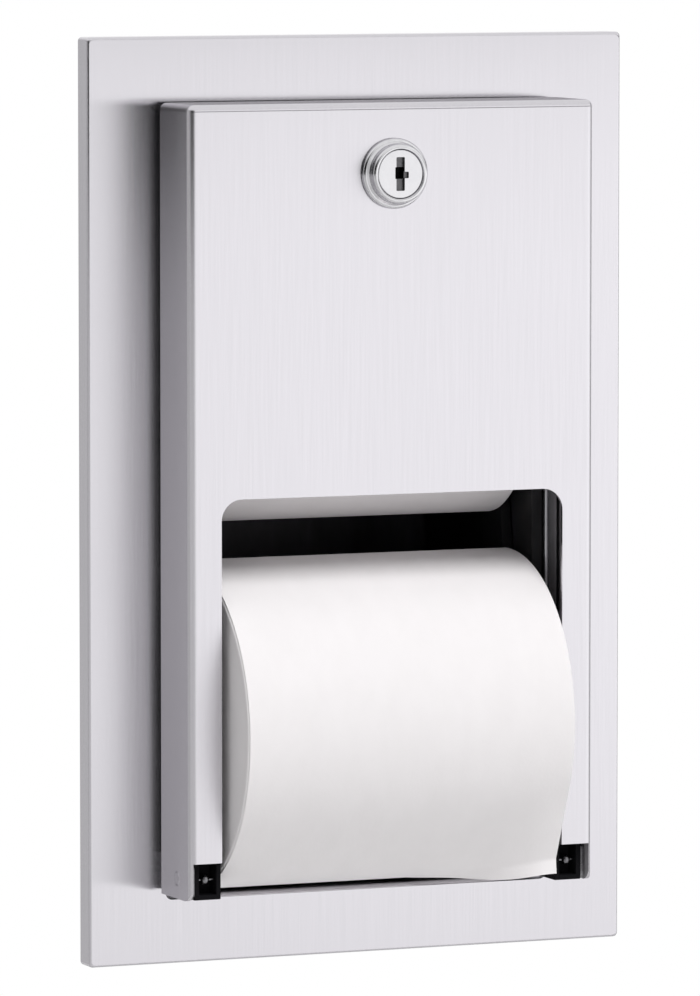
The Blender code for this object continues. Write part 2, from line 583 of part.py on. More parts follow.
# Hinge
def build_hinge(side, label, cabinet, flange, steel):
    inner = HOLE_HALF - SEAT_GAP - BRACKET_SHEET
    ear = DOOR_INNER - SEAT_GAP - BRACKET_SHEET
    jog_back = FACE_Y - BRACKET_JOG_START
    nose = HINGE_Y - BRACKET_NOSE
    near = [(inner, BRACKET_BACK_Y), (inner, jog_back), (ear, jog_back - BRACKET_JOG_LENGTH), (ear, nose)]
    outline = near + [(x + BRACKET_SHEET, y) for x, y in reversed(near)]
    low = HOLE_BOTTOM + BRACKET_LIFT
    strip = extruded([(side * x, y) for x, y in outline], "Z", low, low + BRACKET_HEIGHT)

    def nose_corner(edge):
        at_nose = all(abs(v.co.y - nose) < WELD for v in edge.verts)
        return at_nose and abs(edge.verts[0].co.z - edge.verts[1].co.z) < WELD

    bevel_edges(strip, nose_corner, BRACKET_NOSE * BRACKET_NOSE_ROUND_SHARE)
    bracket = add_piece(label + "_hinge_bracket", strip, steel)
    # pin: head inside the ear, shank through ear and door wall, ending flush with the door
    shank = DOOR_HALF - ear + SEAT_GAP
    profile = ([(-HINGE_HEAD_LENGTH, 0)] + shaped(HINGE_HEAD_SHARES, -HINGE_HEAD_LENGTH, HINGE_HEAD_RADIUS)
               + [(0, HINGE_PIN_RADIUS), (shank, HINGE_PIN_RADIUS), (shank, 0)])
    pin = to_side(turned(profile, "X", SMALL_STEPS), side)
    add_piece(label + "_hinge_pin", pin, steel, (side * (ear - SEAT_GAP), HINGE_Y, HINGE_Z))
    hole = rod(HINGE_PIN_RADIUS + RUN_GAP, -CUT_OVERRUN, BRACKET_SHEET + CUT_OVERRUN, "X")
    combine(bracket, label + "_bracket_pin_hole", to_side(hole, side), (side * ear, HINGE_Y, HINGE_Z))
    add_side_rivet(label + "_bracket_rivet", side, inner, BRACKET_BACK_Y - RIVET_HEAD_RADIUS,
                   low + BRACKET_HEIGHT / 2, [bracket, flange, cabinet], steel)


# Door
def folded_box(outline, half, front, top, bend):
    # an outline in (y, z) made as wide as the door, its front, top and side edges folded round
    solid = extruded(outline, "X", -half, half)

    def folded(edge):
        middle = (edge.verts[0].co + edge.verts[1].co) / 2
        at_front = abs(middle.y - front) < WELD
        at_top = abs(middle.z - top) < WELD
        at_side = abs(abs(middle.x) - half) < WELD
        return at_front + at_top + at_side > 1

    return bevel_edges(solid, folded, bend)


def build_door(pivot, steel):
    # the lower rear corner follows a circle round the hinge, so it clears the flange as it swings
    swing = FACE_Y - max(DOOR_OPEN_CLEARANCE, DOOR_REAR_GAP) - HINGE_Y
    low_deg = -math.degrees(math.asin(min(1, HINGE_RISE / swing)))
    outline = ([(DOOR_FRONT_Y, DOOR_BOTTOM)] + arc((HINGE_Y, HINGE_Z), swing, low_deg, 0, BEND_STEPS)
               + [(DOOR_REAR_Y, HINGE_Z), (DOOR_REAR_Y, DOOR_TOP), (DOOR_FRONT_Y, DOOR_TOP)])
    outer = folded_box(outline, DOOR_HALF, DOOR_FRONT_Y, DOOR_TOP, DOOR_BEND)
    bmesh.ops.translate(outer, verts=outer.verts, vec=-pivot.location)
    door = add_piece("door_shell", outer, steel, pivot.location, pivot)

    front, top = DOOR_FRONT_Y + DOOR_SHEET, DOOR_TOP - DOOR_SHEET
    rear, low = DOOR_REAR_Y + CUT_OVERRUN, DOOR_BOTTOM - CUT_OVERRUN
    inside = [(front, low), (rear, low), (rear, top), (front, top)]
    combine(door, "door_hollow", folded_box(inside, DOOR_INNER, front, top, DOOR_BEND - DOOR_SHEET))

    before, through = DOOR_FRONT_Y - CUT_OVERRUN, DOOR_FRONT_Y + DOOR_BEND + CUT_OVERRUN
    opening = rounded_rect(-OPENING_HALF, OPENING_HALF, DOOR_BOTTOM - OPENING_CORNER * 2, OPENING_TOP,
                           OPENING_CORNER, CORNER_STEPS)
    combine(door, "door_opening", extruded(opening, "Y", before, through))
    for side, label in SIDES:
        left, right = sorted((side * (OPENING_HALF - CUT_OVERRUN), side * DOOR_INNER))
        combine(door, label + "_leg_notch", box(left, right, before, through, low, LEG_BOTTOM))
        hole = rod(HINGE_PIN_RADIUS + RUN_GAP, -CUT_OVERRUN, DOOR_SHEET + CUT_OVERRUN, "X")
        combine(door, label + "_pin_hole", to_side(hole, side), (side * DOOR_INNER, HINGE_Y, HINGE_Z))
    toe = (DOOR_FRONT_Y + DOOR_TOE_RADIUS, DOOR_BOTTOM + DOOR_TOE_RADIUS)
    corner = [(toe[0], low), (before, low), (before, toe[1])]
    corner += arc(toe, DOOR_TOE_RADIUS, 180, 270, BEND_STEPS)
    past = DOOR_HALF + CUT_OVERRUN
    combine(door, "door_toes", extruded(corner, "X", -past, past))
    lock_hole = rod(BARREL_RADIUS + SEAT_GAP, -CUT_OVERRUN, DOOR_SHEET + CUT_OVERRUN, "Y",
                    ROUND_STEPS)
    combine(door, "lock_hole", lock_hole, (0, DOOR_FRONT_Y, LOCK_Z))


# Lock, turned about its own axis, Y measured from the door's front face
def build_barrel(place, pivot, chrome):
    bore = PLUG_RADIUS + SEAT_GAP / 2
    front, seat = -BEZEL_PROUD, -SEAT_GAP
    rim_centre = (front + BEZEL_RIM, BEZEL_FACE_RADIUS - BEZEL_RIM)
    profile = [(front + PLUG_CHAMFER, bore), (front, bore + PLUG_CHAMFER)]
    profile += arc(rim_centre, BEZEL_RIM, 180, 90, BEND_STEPS)
    profile += [(seat - BEZEL_RIM * 2, BEZEL_SHOULDER_RADIUS), (seat - BEZEL_RIM, BEZEL_RADIUS),
                (seat, BEZEL_RADIUS), (seat, BARREL_RADIUS), (BARREL_LENGTH, BARREL_RADIUS),
                (BARREL_LENGTH, bore)]
    barrel = add_piece("lock_barrel", turned(profile, "Y"), chrome, place, pivot)
    past = BARREL_RADIUS + CUT_OVERRUN
    for side, label in SIDES:
        left, right = sorted((side * BARREL_RADIUS * BARREL_FLAT_SHARE, side * past))
        flat = box(left, right, DOOR_SHEET + SEAT_GAP, BARREL_LENGTH + CUT_OVERRUN, -past, past)
        combine(barrel, "barrel_flat_" + label, flat, place)


def build_nut(place, pivot, steel):
    near, far = DOOR_SHEET + SEAT_GAP, DOOR_SHEET + SEAT_GAP + NUT_THICKNESS
    hexagon = arc((0, 0), NUT_HALF_FLATS / math.cos(math.radians(30)), 0, 300, 5)
    nut = add_piece("lock_nut", extruded(hexagon, "Y", near, far), steel, place, pivot)
    hole = rod(BARREL_RADIUS + SEAT_GAP, near - CUT_OVERRUN, far + CUT_OVERRUN, "Y", ROUND_STEPS)
    combine(nut, "nut_hole", hole, place)


def build_plug(place, pivot, chrome):
    face = -BEZEL_PROUD + PLUG_RECESS
    profile = [(face, 0), (face, PLUG_RADIUS - PLUG_CHAMFER), (face + PLUG_CHAMFER, PLUG_RADIUS),
               (BARREL_LENGTH, PLUG_RADIUS), (BARREL_LENGTH, 0)]
    plug = add_piece("lock_plug", turned(profile, "Y"), chrome, place, pivot)
    half_width, half_height = KEYWAY_WIDTH / 2, KEYWAY_HEIGHT / 2
    keyway = box(-half_width, half_width, face - CUT_OVERRUN, face + KEYWAY_DEPTH, -half_height, half_height)
    combine(plug, "keyway", keyway, place)
    ward = box(0, half_width + KEYWAY_WARD, face - CUT_OVERRUN, face + KEYWAY_DEPTH / 2,
               -KEYWAY_WARD, KEYWAY_WARD / 2)
    combine(plug, "keyway_ward", ward, place)


def build_cam(place, pivot, steel, brass):
    # a hub with one arm, which points left when unlocked
    near = BARREL_LENGTH + SEAT_GAP
    far = near + CAM_THICKNESS
    half = CAM_WIDTH / 2
    outline = capsule((-CAM_REACH + half, 0), (0, 0), half)
    add_piece("lock_cam", extruded(outline, "Y", near, far), steel, place, pivot)
    screw_near = far + SEAT_GAP
    screw_far = screw_near + CAM_SCREW_LENGTH
    profile = ([(screw_near, 0)] + shaped(CAM_SCREW_SHARES, CAM_SCREW_LENGTH, CAM_SCREW_RADIUS, screw_near)
               + [(screw_far, 0)])
    screw = add_piece("lock_cam_screw", turned(profile, "Y", SMALL_STEPS), brass, place, pivot)
    past = CAM_SCREW_RADIUS + CUT_OVERRUN
    slot = box(-past, past, screw_far - CAM_SLOT_DEPTH, screw_far + CUT_OVERRUN,
               -CAM_SLOT_WIDTH / 2, CAM_SLOT_WIDTH / 2)
    combine(screw, "cam_screw_slot", slot, place)


def build_keeper(flange, cabinet, steel):
    # strip under the top of the neck, with a lip down in front of the locked cam
    under = KEEPER_TOP - KEEPER_SHEET
    lip_back = CAM_FRONT_Y - KEEPER_CAM_GAP
    lip_front = lip_back - KEEPER_SHEET
    outline = [(KEEPER_BACK_Y, under), (KEEPER_BACK_Y, KEEPER_TOP), (lip_front, KEEPER_TOP),
               (lip_front, KEEPER_TOP - KEEPER_LIP), (lip_back, KEEPER_TOP - KEEPER_LIP), (lip_back, under)]
    keeper = add_piece("latch_keeper", extruded(outline, "X", -KEEPER_WIDTH / 2, KEEPER_WIDTH / 2), steel)
    grip = CABINET_TOP + SHEET - under
    for side, label in SIDES:
        place = (side * KEEPER_WIDTH / 4, KEEPER_BACK_Y - RIVET_HEAD_RADIUS, under - SEAT_GAP)
        rivet = turned(rivet_profile(grip + 2 * SEAT_GAP), "X", SMALL_STEPS)
        add_piece("keeper_rivet_" + label, turn_round(rivet, -90, "Y"), steel, place)
        for piece in (keeper, flange, cabinet):
            hole = turn_round(rivet_hole(grip), -90, "Y")
            combine(piece, label + "_keeper_hole_" + piece.name, hole, place)


# Spindles and rolls
def build_spindle(prefix, centre, carrier, plunger_pivot, plastic, steel):
    half, radius, pin = SPINDLE_HALF, SPINDLE_RADIUS, SPINDLE_PIN_RADIUS
    chamfer, tip_chamfer = SPINDLE_CHAMFER, SPINDLE_CHAMFER / 2
    floor = -half + SPINDLE_WALL
    sleeve = [(-PIN_TIP, 0), (-PIN_TIP, pin - tip_chamfer), (-PIN_TIP + tip_chamfer, pin), (-half, pin),
              (-half, radius - chamfer), (-half + chamfer, radius), (SLEEVE_OVERLAP, radius),
              (SLEEVE_OVERLAP, SPINDLE_BORE), (floor, SPINDLE_BORE), (floor, 0)]
    add_piece(prefix + "_spindle_sleeve", turned(sleeve, "X"), plastic, centre, carrier)
    # the plunger slides in the sleeve until its collar meets the sleeve's rim
    collar = SLEEVE_OVERLAP + PLUNGER_TRAVEL + SPINDLE_GAP
    seat = -SLEEVE_OVERLAP + PLUNGER_BORE_DEPTH
    plunger = [(seat, 0), (seat, PLUNGER_BORE), (-SLEEVE_OVERLAP, PLUNGER_BORE),
               (-SLEEVE_OVERLAP, PLUNGER_RADIUS), (collar, PLUNGER_RADIUS), (collar, radius),
               (half - chamfer, radius), (half, radius - chamfer), (half, pin),
               (PIN_TIP - tip_chamfer, pin), (PIN_TIP, pin - tip_chamfer), (PIN_TIP, 0)]
    add_piece(prefix + "_spindle_plunger", turned(plunger, "X"), plastic, centre, plunger_pivot)
    start = floor + SEAT_GAP + SPRING_WIRE
    end = seat - SEAT_GAP - SPRING_WIRE
    add_wire(prefix + "_spindle_spring", helix_points(SPRING_RADIUS, start, end, SPRING_TURNS),
             SPRING_WIRE, steel, centre, carrier)


def paper_outline(tail_deg):
    # a round that steps up where the loose end lies over the turn beneath
    tail_span = 360 * TAIL_LENGTH_SHARE
    lift_deg = tail_deg + 360 - tail_span
    points = arc((0, 0), ROLL_RADIUS, tail_deg, lift_deg, ROUND_STEPS * 2)
    for along, rise in TAIL_RISE_SHARES:
        angle = math.radians(lift_deg + tail_span * along)
        radius = ROLL_RADIUS + TAIL_LIFT * rise
        points.append((radius * math.cos(angle), radius * math.sin(angle)))
    return points


def build_roll(prefix, centre, pivot, tail_deg, paper, card):
    half, inner = ROLL_HALF, CORE_OUTER_RADIUS - CORE_WALL
    tube = [(-half, inner), (-half, CORE_OUTER_RADIUS), (half, CORE_OUTER_RADIUS), (half, inner)]
    add_piece(prefix + "_core", turned(tube, "X"), card, centre, pivot)
    roll = add_piece(prefix + "_paper_roll", extruded(paper_outline(tail_deg), "X", -half, half), paper,
                     centre, pivot)
    bore = rod(CORE_OUTER_RADIUS + PAPER_GAP, -half - CUT_OVERRUN, half + CUT_OVERRUN, "X",
                        ROUND_STEPS)
    combine(roll, prefix + "_roll_bore", bore, centre)


# Cradle arms, on a shaft that turns in the guides; outlines are measured from the shaft
def arm_outline():
    rest = SPINDLE_PIN_RADIUS + SEAT_GAP
    pin_y = UPPER_SPINDLE.y - CRADLE_SHAFT.y
    seat_z = UPPER_SPINDLE.z - CRADLE_SHAFT.z - rest
    nose_y = pin_y - CRADLE_HOOK_NOSE
    outline = arc((0, 0), BOSS_RADIUS, -90, 90, CORNER_STEPS)
    for from_y, size, shares in ((pin_y, CRADLE_ARM_DEPTH, ARM_BACK_SHARES), (pin_y, rest, ARM_SEAT_SHARES),
                                 (nose_y, CRADLE_ARM_DEPTH, ARM_NOSE_SHARES),
                                 (pin_y, CRADLE_ARM_DEPTH, ARM_BELLY_SHARES)):
        outline += [(from_y + size * back, seat_z + size * up) for back, up in shares]
    return outline


def build_cradle(pivot, steel):
    shaft = rod(CRADLE_SHAFT_RADIUS, -PIN_TIP, PIN_TIP, "X")
    add_piece("cradle_shaft", shaft, steel, CRADLE_SHAFT, pivot)
    arm_inner = (ROLL_HALF + GUIDE_INNER - CRADLE_ARM_SHEET) / 2
    bore = CRADLE_SHAFT_RADIUS + SEAT_GAP
    for side, label in SIDES:
        plate = side_plate(arm_outline(), arm_inner, arm_inner + CRADLE_ARM_SHEET, side)
        arm = add_piece(label + "_cradle_arm", plate, steel, CRADLE_SHAFT, pivot)
        hole = rod(bore, -CUT_OVERRUN, CRADLE_ARM_SHEET + CUT_OVERRUN, "X")
        arm_place = CRADLE_SHAFT + Vector((side * arm_inner, 0, 0))
        combine(arm, label + "_arm_hole", to_side(hole, side), arm_place)
        clip_profile = [(0, bore), (0, CLIP_RADIUS), (CLIP_THICKNESS, CLIP_RADIUS), (CLIP_THICKNESS, bore)]
        clip = to_side(turned(clip_profile, "X", SMALL_STEPS), side)
        clip_place = arm_place - Vector((side * (SEAT_GAP + CLIP_THICKNESS), 0, 0))
        add_piece(label + "_shaft_clip", clip, steel, clip_place, pivot)
    # the coil lies against the left clip
    wire = CRADLE_SPRING_WIRE
    start = -arm_inner + CLIP_THICKNESS + 3 * SEAT_GAP + wire
    end = start + wire * CRADLE_SPRING_PITCH_SHARE * CRADLE_SPRING_TURNS
    coil = helix_points(bore + SEAT_GAP + wire, start, end, CRADLE_SPRING_TURNS)
    add_wire("cradle_spring", coil, wire, steel, CRADLE_SHAFT, pivot)


def build_all():
    for old in list(bpy.data.objects):
        bpy.data.objects.remove(old, do_unlink=True)
    satin = make_material("satin_stainless", (0.62, 0.62, 0.64), 1, 0.32)
    plain = make_material("plain_stainless", (0.50, 0.50, 0.52), 1, 0.38)
    chrome = make_material("polished_chrome", (0.80, 0.80, 0.82), 1, 0.08)
    brass = make_material("brass", (0.70, 0.55, 0.28), 1, 0.30)
    black = make_material("black_moulding", (0.02, 0.02, 0.022), 0, 0.45)
    paper = make_material("tissue_paper", (0.90, 0.90, 0.90), 0, 0.95)
    card = make_material("grey_card", (0.45, 0.40, 0.34), 0, 0.90)

    flange = build_flange(satin)
    cabinet = build_cabinet(plain)
    for side, label in SIDES:
        build_guide(side, label, cabinet, black, plain)
        build_hinge(side, label, cabinet, flange, plain)
        add_mounting_screw(label + "_upper_screw", side, CABINET_TOP - SCREW_TOP_INSET, cabinet, plain)
        add_mounting_screw(label + "_lower_screw", side, CABINET_BOTTOM + SCREW_BOTTOM_INSET, cabinet, plain)
    build_keeper(flange, cabinet, plain)

    door_pivot = body_pivot("door_axis", (0, HINGE_Y, HINGE_Z))
    build_door(door_pivot, satin)
    lock_place = Vector((0, DOOR_FRONT_Y, LOCK_Z))
    lock_pivot = body_pivot("lock_axis", lock_place)
    build_barrel(lock_place, door_pivot, chrome)
    build_nut(lock_place, door_pivot, plain)
    build_plug(lock_place, lock_pivot, chrome)
    build_cam(lock_place, lock_pivot, plain, brass)

    lower_plunger_pivot = body_pivot("lower_plunger_axis", LOWER_SPINDLE)
    lower_roll_pivot = body_pivot("lower_roll_axis", LOWER_ROLL)
    build_spindle("lower", LOWER_SPINDLE, None, lower_plunger_pivot, black, plain)
    build_roll("lower", LOWER_ROLL, lower_roll_pivot, LOWER_TAIL_DEG, paper, card)
    upper_spindle_pivot = body_pivot("upper_spindle_axis", UPPER_SPINDLE)
    upper_plunger_pivot = body_pivot("upper_plunger_axis", UPPER_SPINDLE)
    upper_roll_pivot = body_pivot("upper_roll_axis", UPPER_ROLL)
    build_spindle("upper", UPPER_SPINDLE, upper_spindle_pivot, upper_plunger_pivot, black, plain)
    build_roll("upper", UPPER_ROLL, upper_roll_pivot, UPPER_TAIL_DEG, paper, card)
    build_cradle(body_pivot("cradle_axis", CRADLE_SHAFT), plain)


build_all()
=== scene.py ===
# Double roll toilet paper dispenser, dressed for a studio picture
import math

import bmesh
import bpy
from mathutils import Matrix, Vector


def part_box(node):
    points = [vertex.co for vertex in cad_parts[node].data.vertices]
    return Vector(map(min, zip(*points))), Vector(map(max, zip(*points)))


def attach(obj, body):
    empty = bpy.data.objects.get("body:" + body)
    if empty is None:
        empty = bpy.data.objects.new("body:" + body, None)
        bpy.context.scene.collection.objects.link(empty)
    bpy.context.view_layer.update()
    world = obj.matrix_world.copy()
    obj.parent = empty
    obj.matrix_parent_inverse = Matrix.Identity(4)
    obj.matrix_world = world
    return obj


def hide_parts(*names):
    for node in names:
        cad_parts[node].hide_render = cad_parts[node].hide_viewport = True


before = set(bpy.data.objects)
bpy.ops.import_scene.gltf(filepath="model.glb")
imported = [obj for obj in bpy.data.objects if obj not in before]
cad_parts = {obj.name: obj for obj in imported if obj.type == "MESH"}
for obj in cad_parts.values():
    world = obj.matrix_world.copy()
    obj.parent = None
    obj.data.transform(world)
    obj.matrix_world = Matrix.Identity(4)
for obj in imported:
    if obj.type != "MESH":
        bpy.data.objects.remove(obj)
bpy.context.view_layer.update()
print("frame loaded:", len(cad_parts), "nodes")

bpy.context.scene.tool_settings.transform_pivot_point = "MEDIAN_POINT"


# Mesh helpers
axisWays = {"X": Vector((1, 0, 0)), "Y": Vector((0, 1, 0))}
axisTurns = {"X": (0, math.pi / 2, 0), "Y": (math.pi / 2, 0, 0)}
squareOn = 0.9      # a face with this much of its normal along an axis counts as square to it


def deselectAll():
    if bpy.context.object and bpy.context.object.mode != "OBJECT":
        bpy.ops.object.mode_set(mode="OBJECT")
    bpy.ops.object.select_all(action="DESELECT")


def makeActive(piece):
    deselectAll()
    piece.select_set(True)
    bpy.context.view_layer.objects.active = piece


def editMode(piece):
    makeActive(piece)
    bpy.ops.object.mode_set(mode="EDIT")
    bpy.ops.mesh.select_mode(type="VERT")
    bpy.ops.mesh.select_all(action="DESELECT")


def objectMode():
    bpy.ops.object.mode_set(mode="OBJECT")


def selectWhole():
    bpy.ops.mesh.select_all(action="SELECT")


def pick(piece, kind, test):
    # selects faces, edges or verts of the piece in edit mode for which test(centre, element) holds
    bpy.ops.mesh.select_mode(type={"faces": "FACE", "edges": "EDGE", "verts": "VERT"}[kind])
    bpy.ops.mesh.select_all(action="DESELECT")
    mesh = bmesh.from_edit_mesh(piece.data)
    for item in getattr(mesh, kind):
        if kind == "faces":
            centre = item.calc_center_median()
        elif kind == "edges":
            centre = (item.verts[0].co + item.verts[1].co) / 2
        else:
            centre = item.co
        if test(centre, item):
            item.select_set(True)
    mesh.select_flush_mode()
    bmesh.update_edit_mesh(piece.data)


def runsAlong(edge, axis):
    way = (edge.verts[1].co - edge.verts[0].co).normalized()
    return abs(way[axis]) > 0.99


def near(a, b, reach=0.0001):
    return abs(a - b) < reach


def sideSpan(side, a, b):
    # two distances from the middle, as low and high X on the side given by -1 or 1
    return sorted((side * a, side * b))


def boxCentre(node):
    low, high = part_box(node)
    return Vector([(a + b) / 2 for a, b in zip(low, high)])


def settle(name):
    # names the new object and puts its placing into its mesh
    piece = bpy.context.object
    piece.name = name
    bpy.ops.object.transform_apply(location=True, rotation=True, scale=True)
    return piece


def addBox(name, low, high):
    deselectAll()
    low, high = Vector(low), Vector(high)
    bpy.ops.mesh.primitive_cube_add(size=1, location=(low + high) / 2, scale=high - low)
    return settle(name)


def addPlane(name, centre, wide, tall):
    # an upright plane along X and Z
    deselectAll()
    bpy.ops.mesh.primitive_plane_add(size=1, location=centre, rotation=axisTurns["Y"])
    bpy.context.object.scale = (wide, tall, 1)
    return settle(name)


def addCylinder(name, radius, low, high, axis, across, steps=48):
    # a round bar along X or Y, from low to high, at the two other coordinates given
    deselectAll()
    middle = (low + high) / 2
    place = (middle, *across) if axis == "X" else (across[0], middle, across[1])
    bpy.ops.mesh.primitive_cylinder_add(vertices=steps, radius=radius, depth=high - low, location=place,
                                        rotation=axisTurns[axis])
    return settle(name)


def applyModifier(piece, kind, **values):
    makeActive(piece)
    modifier = piece.modifiers.new(kind.lower(), kind)
    for key, value in values.items():
        setattr(modifier, key, value)
    bpy.ops.object.modifier_apply(modifier=modifier.name)


def shadeSmooth(piece, degrees):
    makeActive(piece)
    bpy.ops.object.shade_smooth_by_angle(angle=math.radians(degrees))


def cutOut(piece, cutter):
    applyModifier(piece, "BOOLEAN", operation="DIFFERENCE", solver="EXACT", object=cutter)
    makeActive(cutter)
    bpy.ops.object.delete()


def roundEdges(piece, width, segments, test):
    editMode(piece)
    pick(piece, "edges", test)
    bpy.ops.mesh.bevel(offset=width, segments=segments, affect="EDGES")
    objectMode()


def softenEdges(piece, width, segments=2, degrees=50):
    # breaks the sharp cut edges and keeps the flat faces flat
    applyModifier(piece, "BEVEL", width=width, segments=segments, limit_method="ANGLE",
                  angle_limit=math.radians(degrees))
    shadeSmooth(piece, 40)
    applyModifier(piece, "WEIGHTED_NORMAL", keep_sharp=True, weight=80)


def faceFront(piece):
    # turns the normals so that the upright faces of the open sheet look to the front
    selectWhole()
    bpy.ops.mesh.normals_make_consistent(inside=False)
    faces = bmesh.from_edit_mesh(piece.data).faces
    if sum(f.normal.y for f in faces if abs(f.normal.y) > squareOn) > 0:
        bpy.ops.mesh.flip_normals()


def turnPiece(name, profile, centre, axis, steps=96, closed=False, weld=0.00001):
    # a ring extruded and scaled from one (along, radius) point to the next, capped or closed on itself
    deselectAll()
    way = axisWays[axis]
    along, radius = profile[0]
    bpy.ops.mesh.primitive_circle_add(vertices=steps, radius=radius, fill_type="NOTHING",
                                      location=Vector(centre) + way * along, rotation=axisTurns[axis])
    piece = settle(name)
    editMode(piece)
    selectWhole()
    if not closed:
        bpy.ops.mesh.edge_face_add()
        selectWhole()
    for nextAlong, nextRadius in profile[1:] + ([profile[0]] if closed else []):
        bpy.ops.mesh.extrude_region_move(TRANSFORM_OT_translate={"value": way * (nextAlong - along)})
        size = nextRadius / radius
        bpy.ops.transform.resize(value=(1, size, size) if axis == "X" else (size, 1, size))
        along, radius = nextAlong, nextRadius
    selectWhole()
    bpy.ops.mesh.remove_doubles(threshold=weld)
    if not closed:
        # the cap has moved along with the ring, so the first end is open
        pick(piece, "edges", lambda c, e: e.is_boundary)
        bpy.ops.mesh.edge_face_add()
        selectWhole()
    bpy.ops.mesh.normals_make_consistent(inside=False)
    objectMode()
    return piece


def arcPoints(centre, radius, startDeg, endDeg, steps):
    points = []
    for i in range(steps + 1):
        angle = math.radians(startDeg + (endDeg - startDeg) * i / steps)
        points.append((centre[0] + radius * math.cos(angle), centre[1] + radius * math.sin(angle)))
    return points


def boxUnwrap(piece, size=0.1):
    # U runs level and V runs up on every side, so that the grain is upright all round
    editMode(piece)
    selectWhole()
    bpy.ops.uv.cube_project(cube_size=size, correct_aspect=False)
    objectMode()


def finishPiece(piece, material, body, slot, *nodes):
    piece.data.materials.clear()
    piece.data.materials.append(material)
    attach(piece, body)
    if nodes:
        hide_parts(*nodes)


def paintFaces(piece, material, test):
    # gives the faces of the piece for which test(centre, face) holds a finish of their own
    piece.data.materials.append(material)
    editMode(piece)
    pick(piece, "faces", test)
    piece.active_material_index = len(piece.data.materials) - 1
    bpy.ops.object.material_slot_assign()
    objectMode()


# Material helpers
def newMaterial(name):
    material = bpy.data.materials.new(name)
    material.use_nodes = True
    nodes, links = material.node_tree.nodes, material.node_tree.links
    return material, nodes, links, nodes["Principled BSDF"]


def setSockets(shader, values):
    for socket, value in values.items():
        shader.inputs[socket].default_value = value


def objectNoise(nodes, links, scale, detail=3, roughness=0.55):
    place = nodes.new("ShaderNodeTexCoord")
    mapping = nodes.new("ShaderNodeMapping")
    noise = nodes.new("ShaderNodeTexNoise")
    setSockets(mapping, {"Scale": scale})
    setSockets(noise, {"Scale": 1, "Detail": detail, "Roughness": roughness})
    links.new(place.outputs["Object"], mapping.inputs["Vector"])
    links.new(mapping.outputs["Vector"], noise.inputs["Vector"])
    return noise.outputs["Fac"]


def remap(nodes, links, value, low, high, fromLow=0.3, fromHigh=0.7):
    node = nodes.new("ShaderNodeMapRange")
    setSockets(node, {"From Min": fromLow, "From Max": fromHigh, "To Min": low, "To Max": high})
    links.new(value, node.inputs["Value"])
    return node.outputs["Result"]


def colourBy(nodes, links, shader, value, dark, light):
    mix = nodes.new("ShaderNodeMix")
    mix.data_type = "RGBA"
    setSockets(mix, {"A": (*dark, 1), "B": (*light, 1)})
    links.new(remap(nodes, links, value, 0, 1), mix.inputs["Factor"])
    links.new(mix.outputs["Result"], shader.inputs["Base Color"])


def bumpBy(nodes, links, shader, height, strength, distance):
    bump = nodes.new("ShaderNodeBump")
    setSockets(bump, {"Strength": strength, "Distance": distance})
    links.new(height, bump.inputs["Height"])
    links.new(bump.outputs["Normal"], shader.inputs["Normal"])


brushedSteel = {
    "light": (0.65, 0.634, 0.668), "dark": (0.62, 0.605, 0.638),
    "roughness": (0.18, 0.22),
    "sockets": {"Metallic": 1, "Anisotropic": 1.0},
    "grainScale": (2600, 2600, 34),     # fine streaks that run up the sheet
    "smudgeScale": (9, 9, 9), "grainShare": 0.5,
    "bump": 0.02, "bumpDistance": 0.00003,
}


def makeBrushedSteel(spec):
    material, nodes, links, shader = newMaterial("brushedSteel")
    grain = objectNoise(nodes, links, spec["grainScale"], detail=2)
    smudge = objectNoise(nodes, links, spec["smudgeScale"], detail=4)
    colourBy(nodes, links, shader, grain, spec["dark"], spec["light"])
    # the roughness follows the grain and the smudges together
    smudgePart, both = nodes.new("ShaderNodeMath"), nodes.new("ShaderNodeMath")
    smudgePart.operation, both.operation = "MULTIPLY", "MULTIPLY_ADD"
    links.new(smudge, smudgePart.inputs[0])
    smudgePart.inputs[1].default_value = 1 - spec["grainShare"]
    links.new(grain, both.inputs[0])
    both.inputs[1].default_value = spec["grainShare"]
    links.new(smudgePart.outputs[0], both.inputs[2])
    links.new(remap(nodes, links, both.outputs[0], *spec["roughness"]), shader.inputs["Roughness"])
    setSockets(shader, spec["sockets"])
    tangent = nodes.new("ShaderNodeTangent")
    tangent.direction_type = "UV_MAP"
    tangent.uv_map = "UVMap"
    links.new(tangent.outputs["Tangent"], shader.inputs["Tangent"])
    bumpBy(nodes, links, shader, grain, spec["bump"], spec["bumpDistance"])
    return material


def makeMetal(name, light, dark, roughness, scale, metallic=1, bump=0.04, bumpDistance=0.00005):
    material, nodes, links, shader = newMaterial(name)
    cloud = objectNoise(nodes, links, scale)
    colourBy(nodes, links, shader, cloud, dark, light)
    links.new(remap(nodes, links, cloud, *roughness), shader.inputs["Roughness"])
    setSockets(shader, {"Metallic": metallic})
    bumpBy(nodes, links, shader, cloud, bump, bumpDistance)
    return material


def makeMoulding(name, light, dark, roughness, grain=2200, shine=0.5, wear=60, bump=0.15,
                 bumpDistance=0.00006):
    material, nodes, links, shader = newMaterial(name)
    setSockets(shader, {"Specular IOR Level": shine})
    fine = objectNoise(nodes, links, (grain, grain, grain), detail=2)
    worn = objectNoise(nodes, links, (wear, wear, wear))
    colourBy(nodes, links, shader, worn, dark, light)
    links.new(remap(nodes, links, worn, *roughness), shader.inputs["Roughness"])
    bumpBy(nodes, links, shader, fine, bump, bumpDistance)
    return material


paperLook = {
    "light": (0.925, 0.896, 0.905), "dark": (0.905, 0.876, 0.884),
    "roughness": (0.86, 0.97),
    "fibreScale": (900, 900, 900), "softScale": (120, 60, 60),
    "bump": 0.35, "bumpDistance": 0.00012,
    "sockets": {"Specular IOR Level": 0.15, "Sheen Weight": 0.15, "Subsurface Weight": 0.12,
                "Subsurface Radius": (0.002, 0.002, 0.002), "Subsurface Scale": 0.6},
}


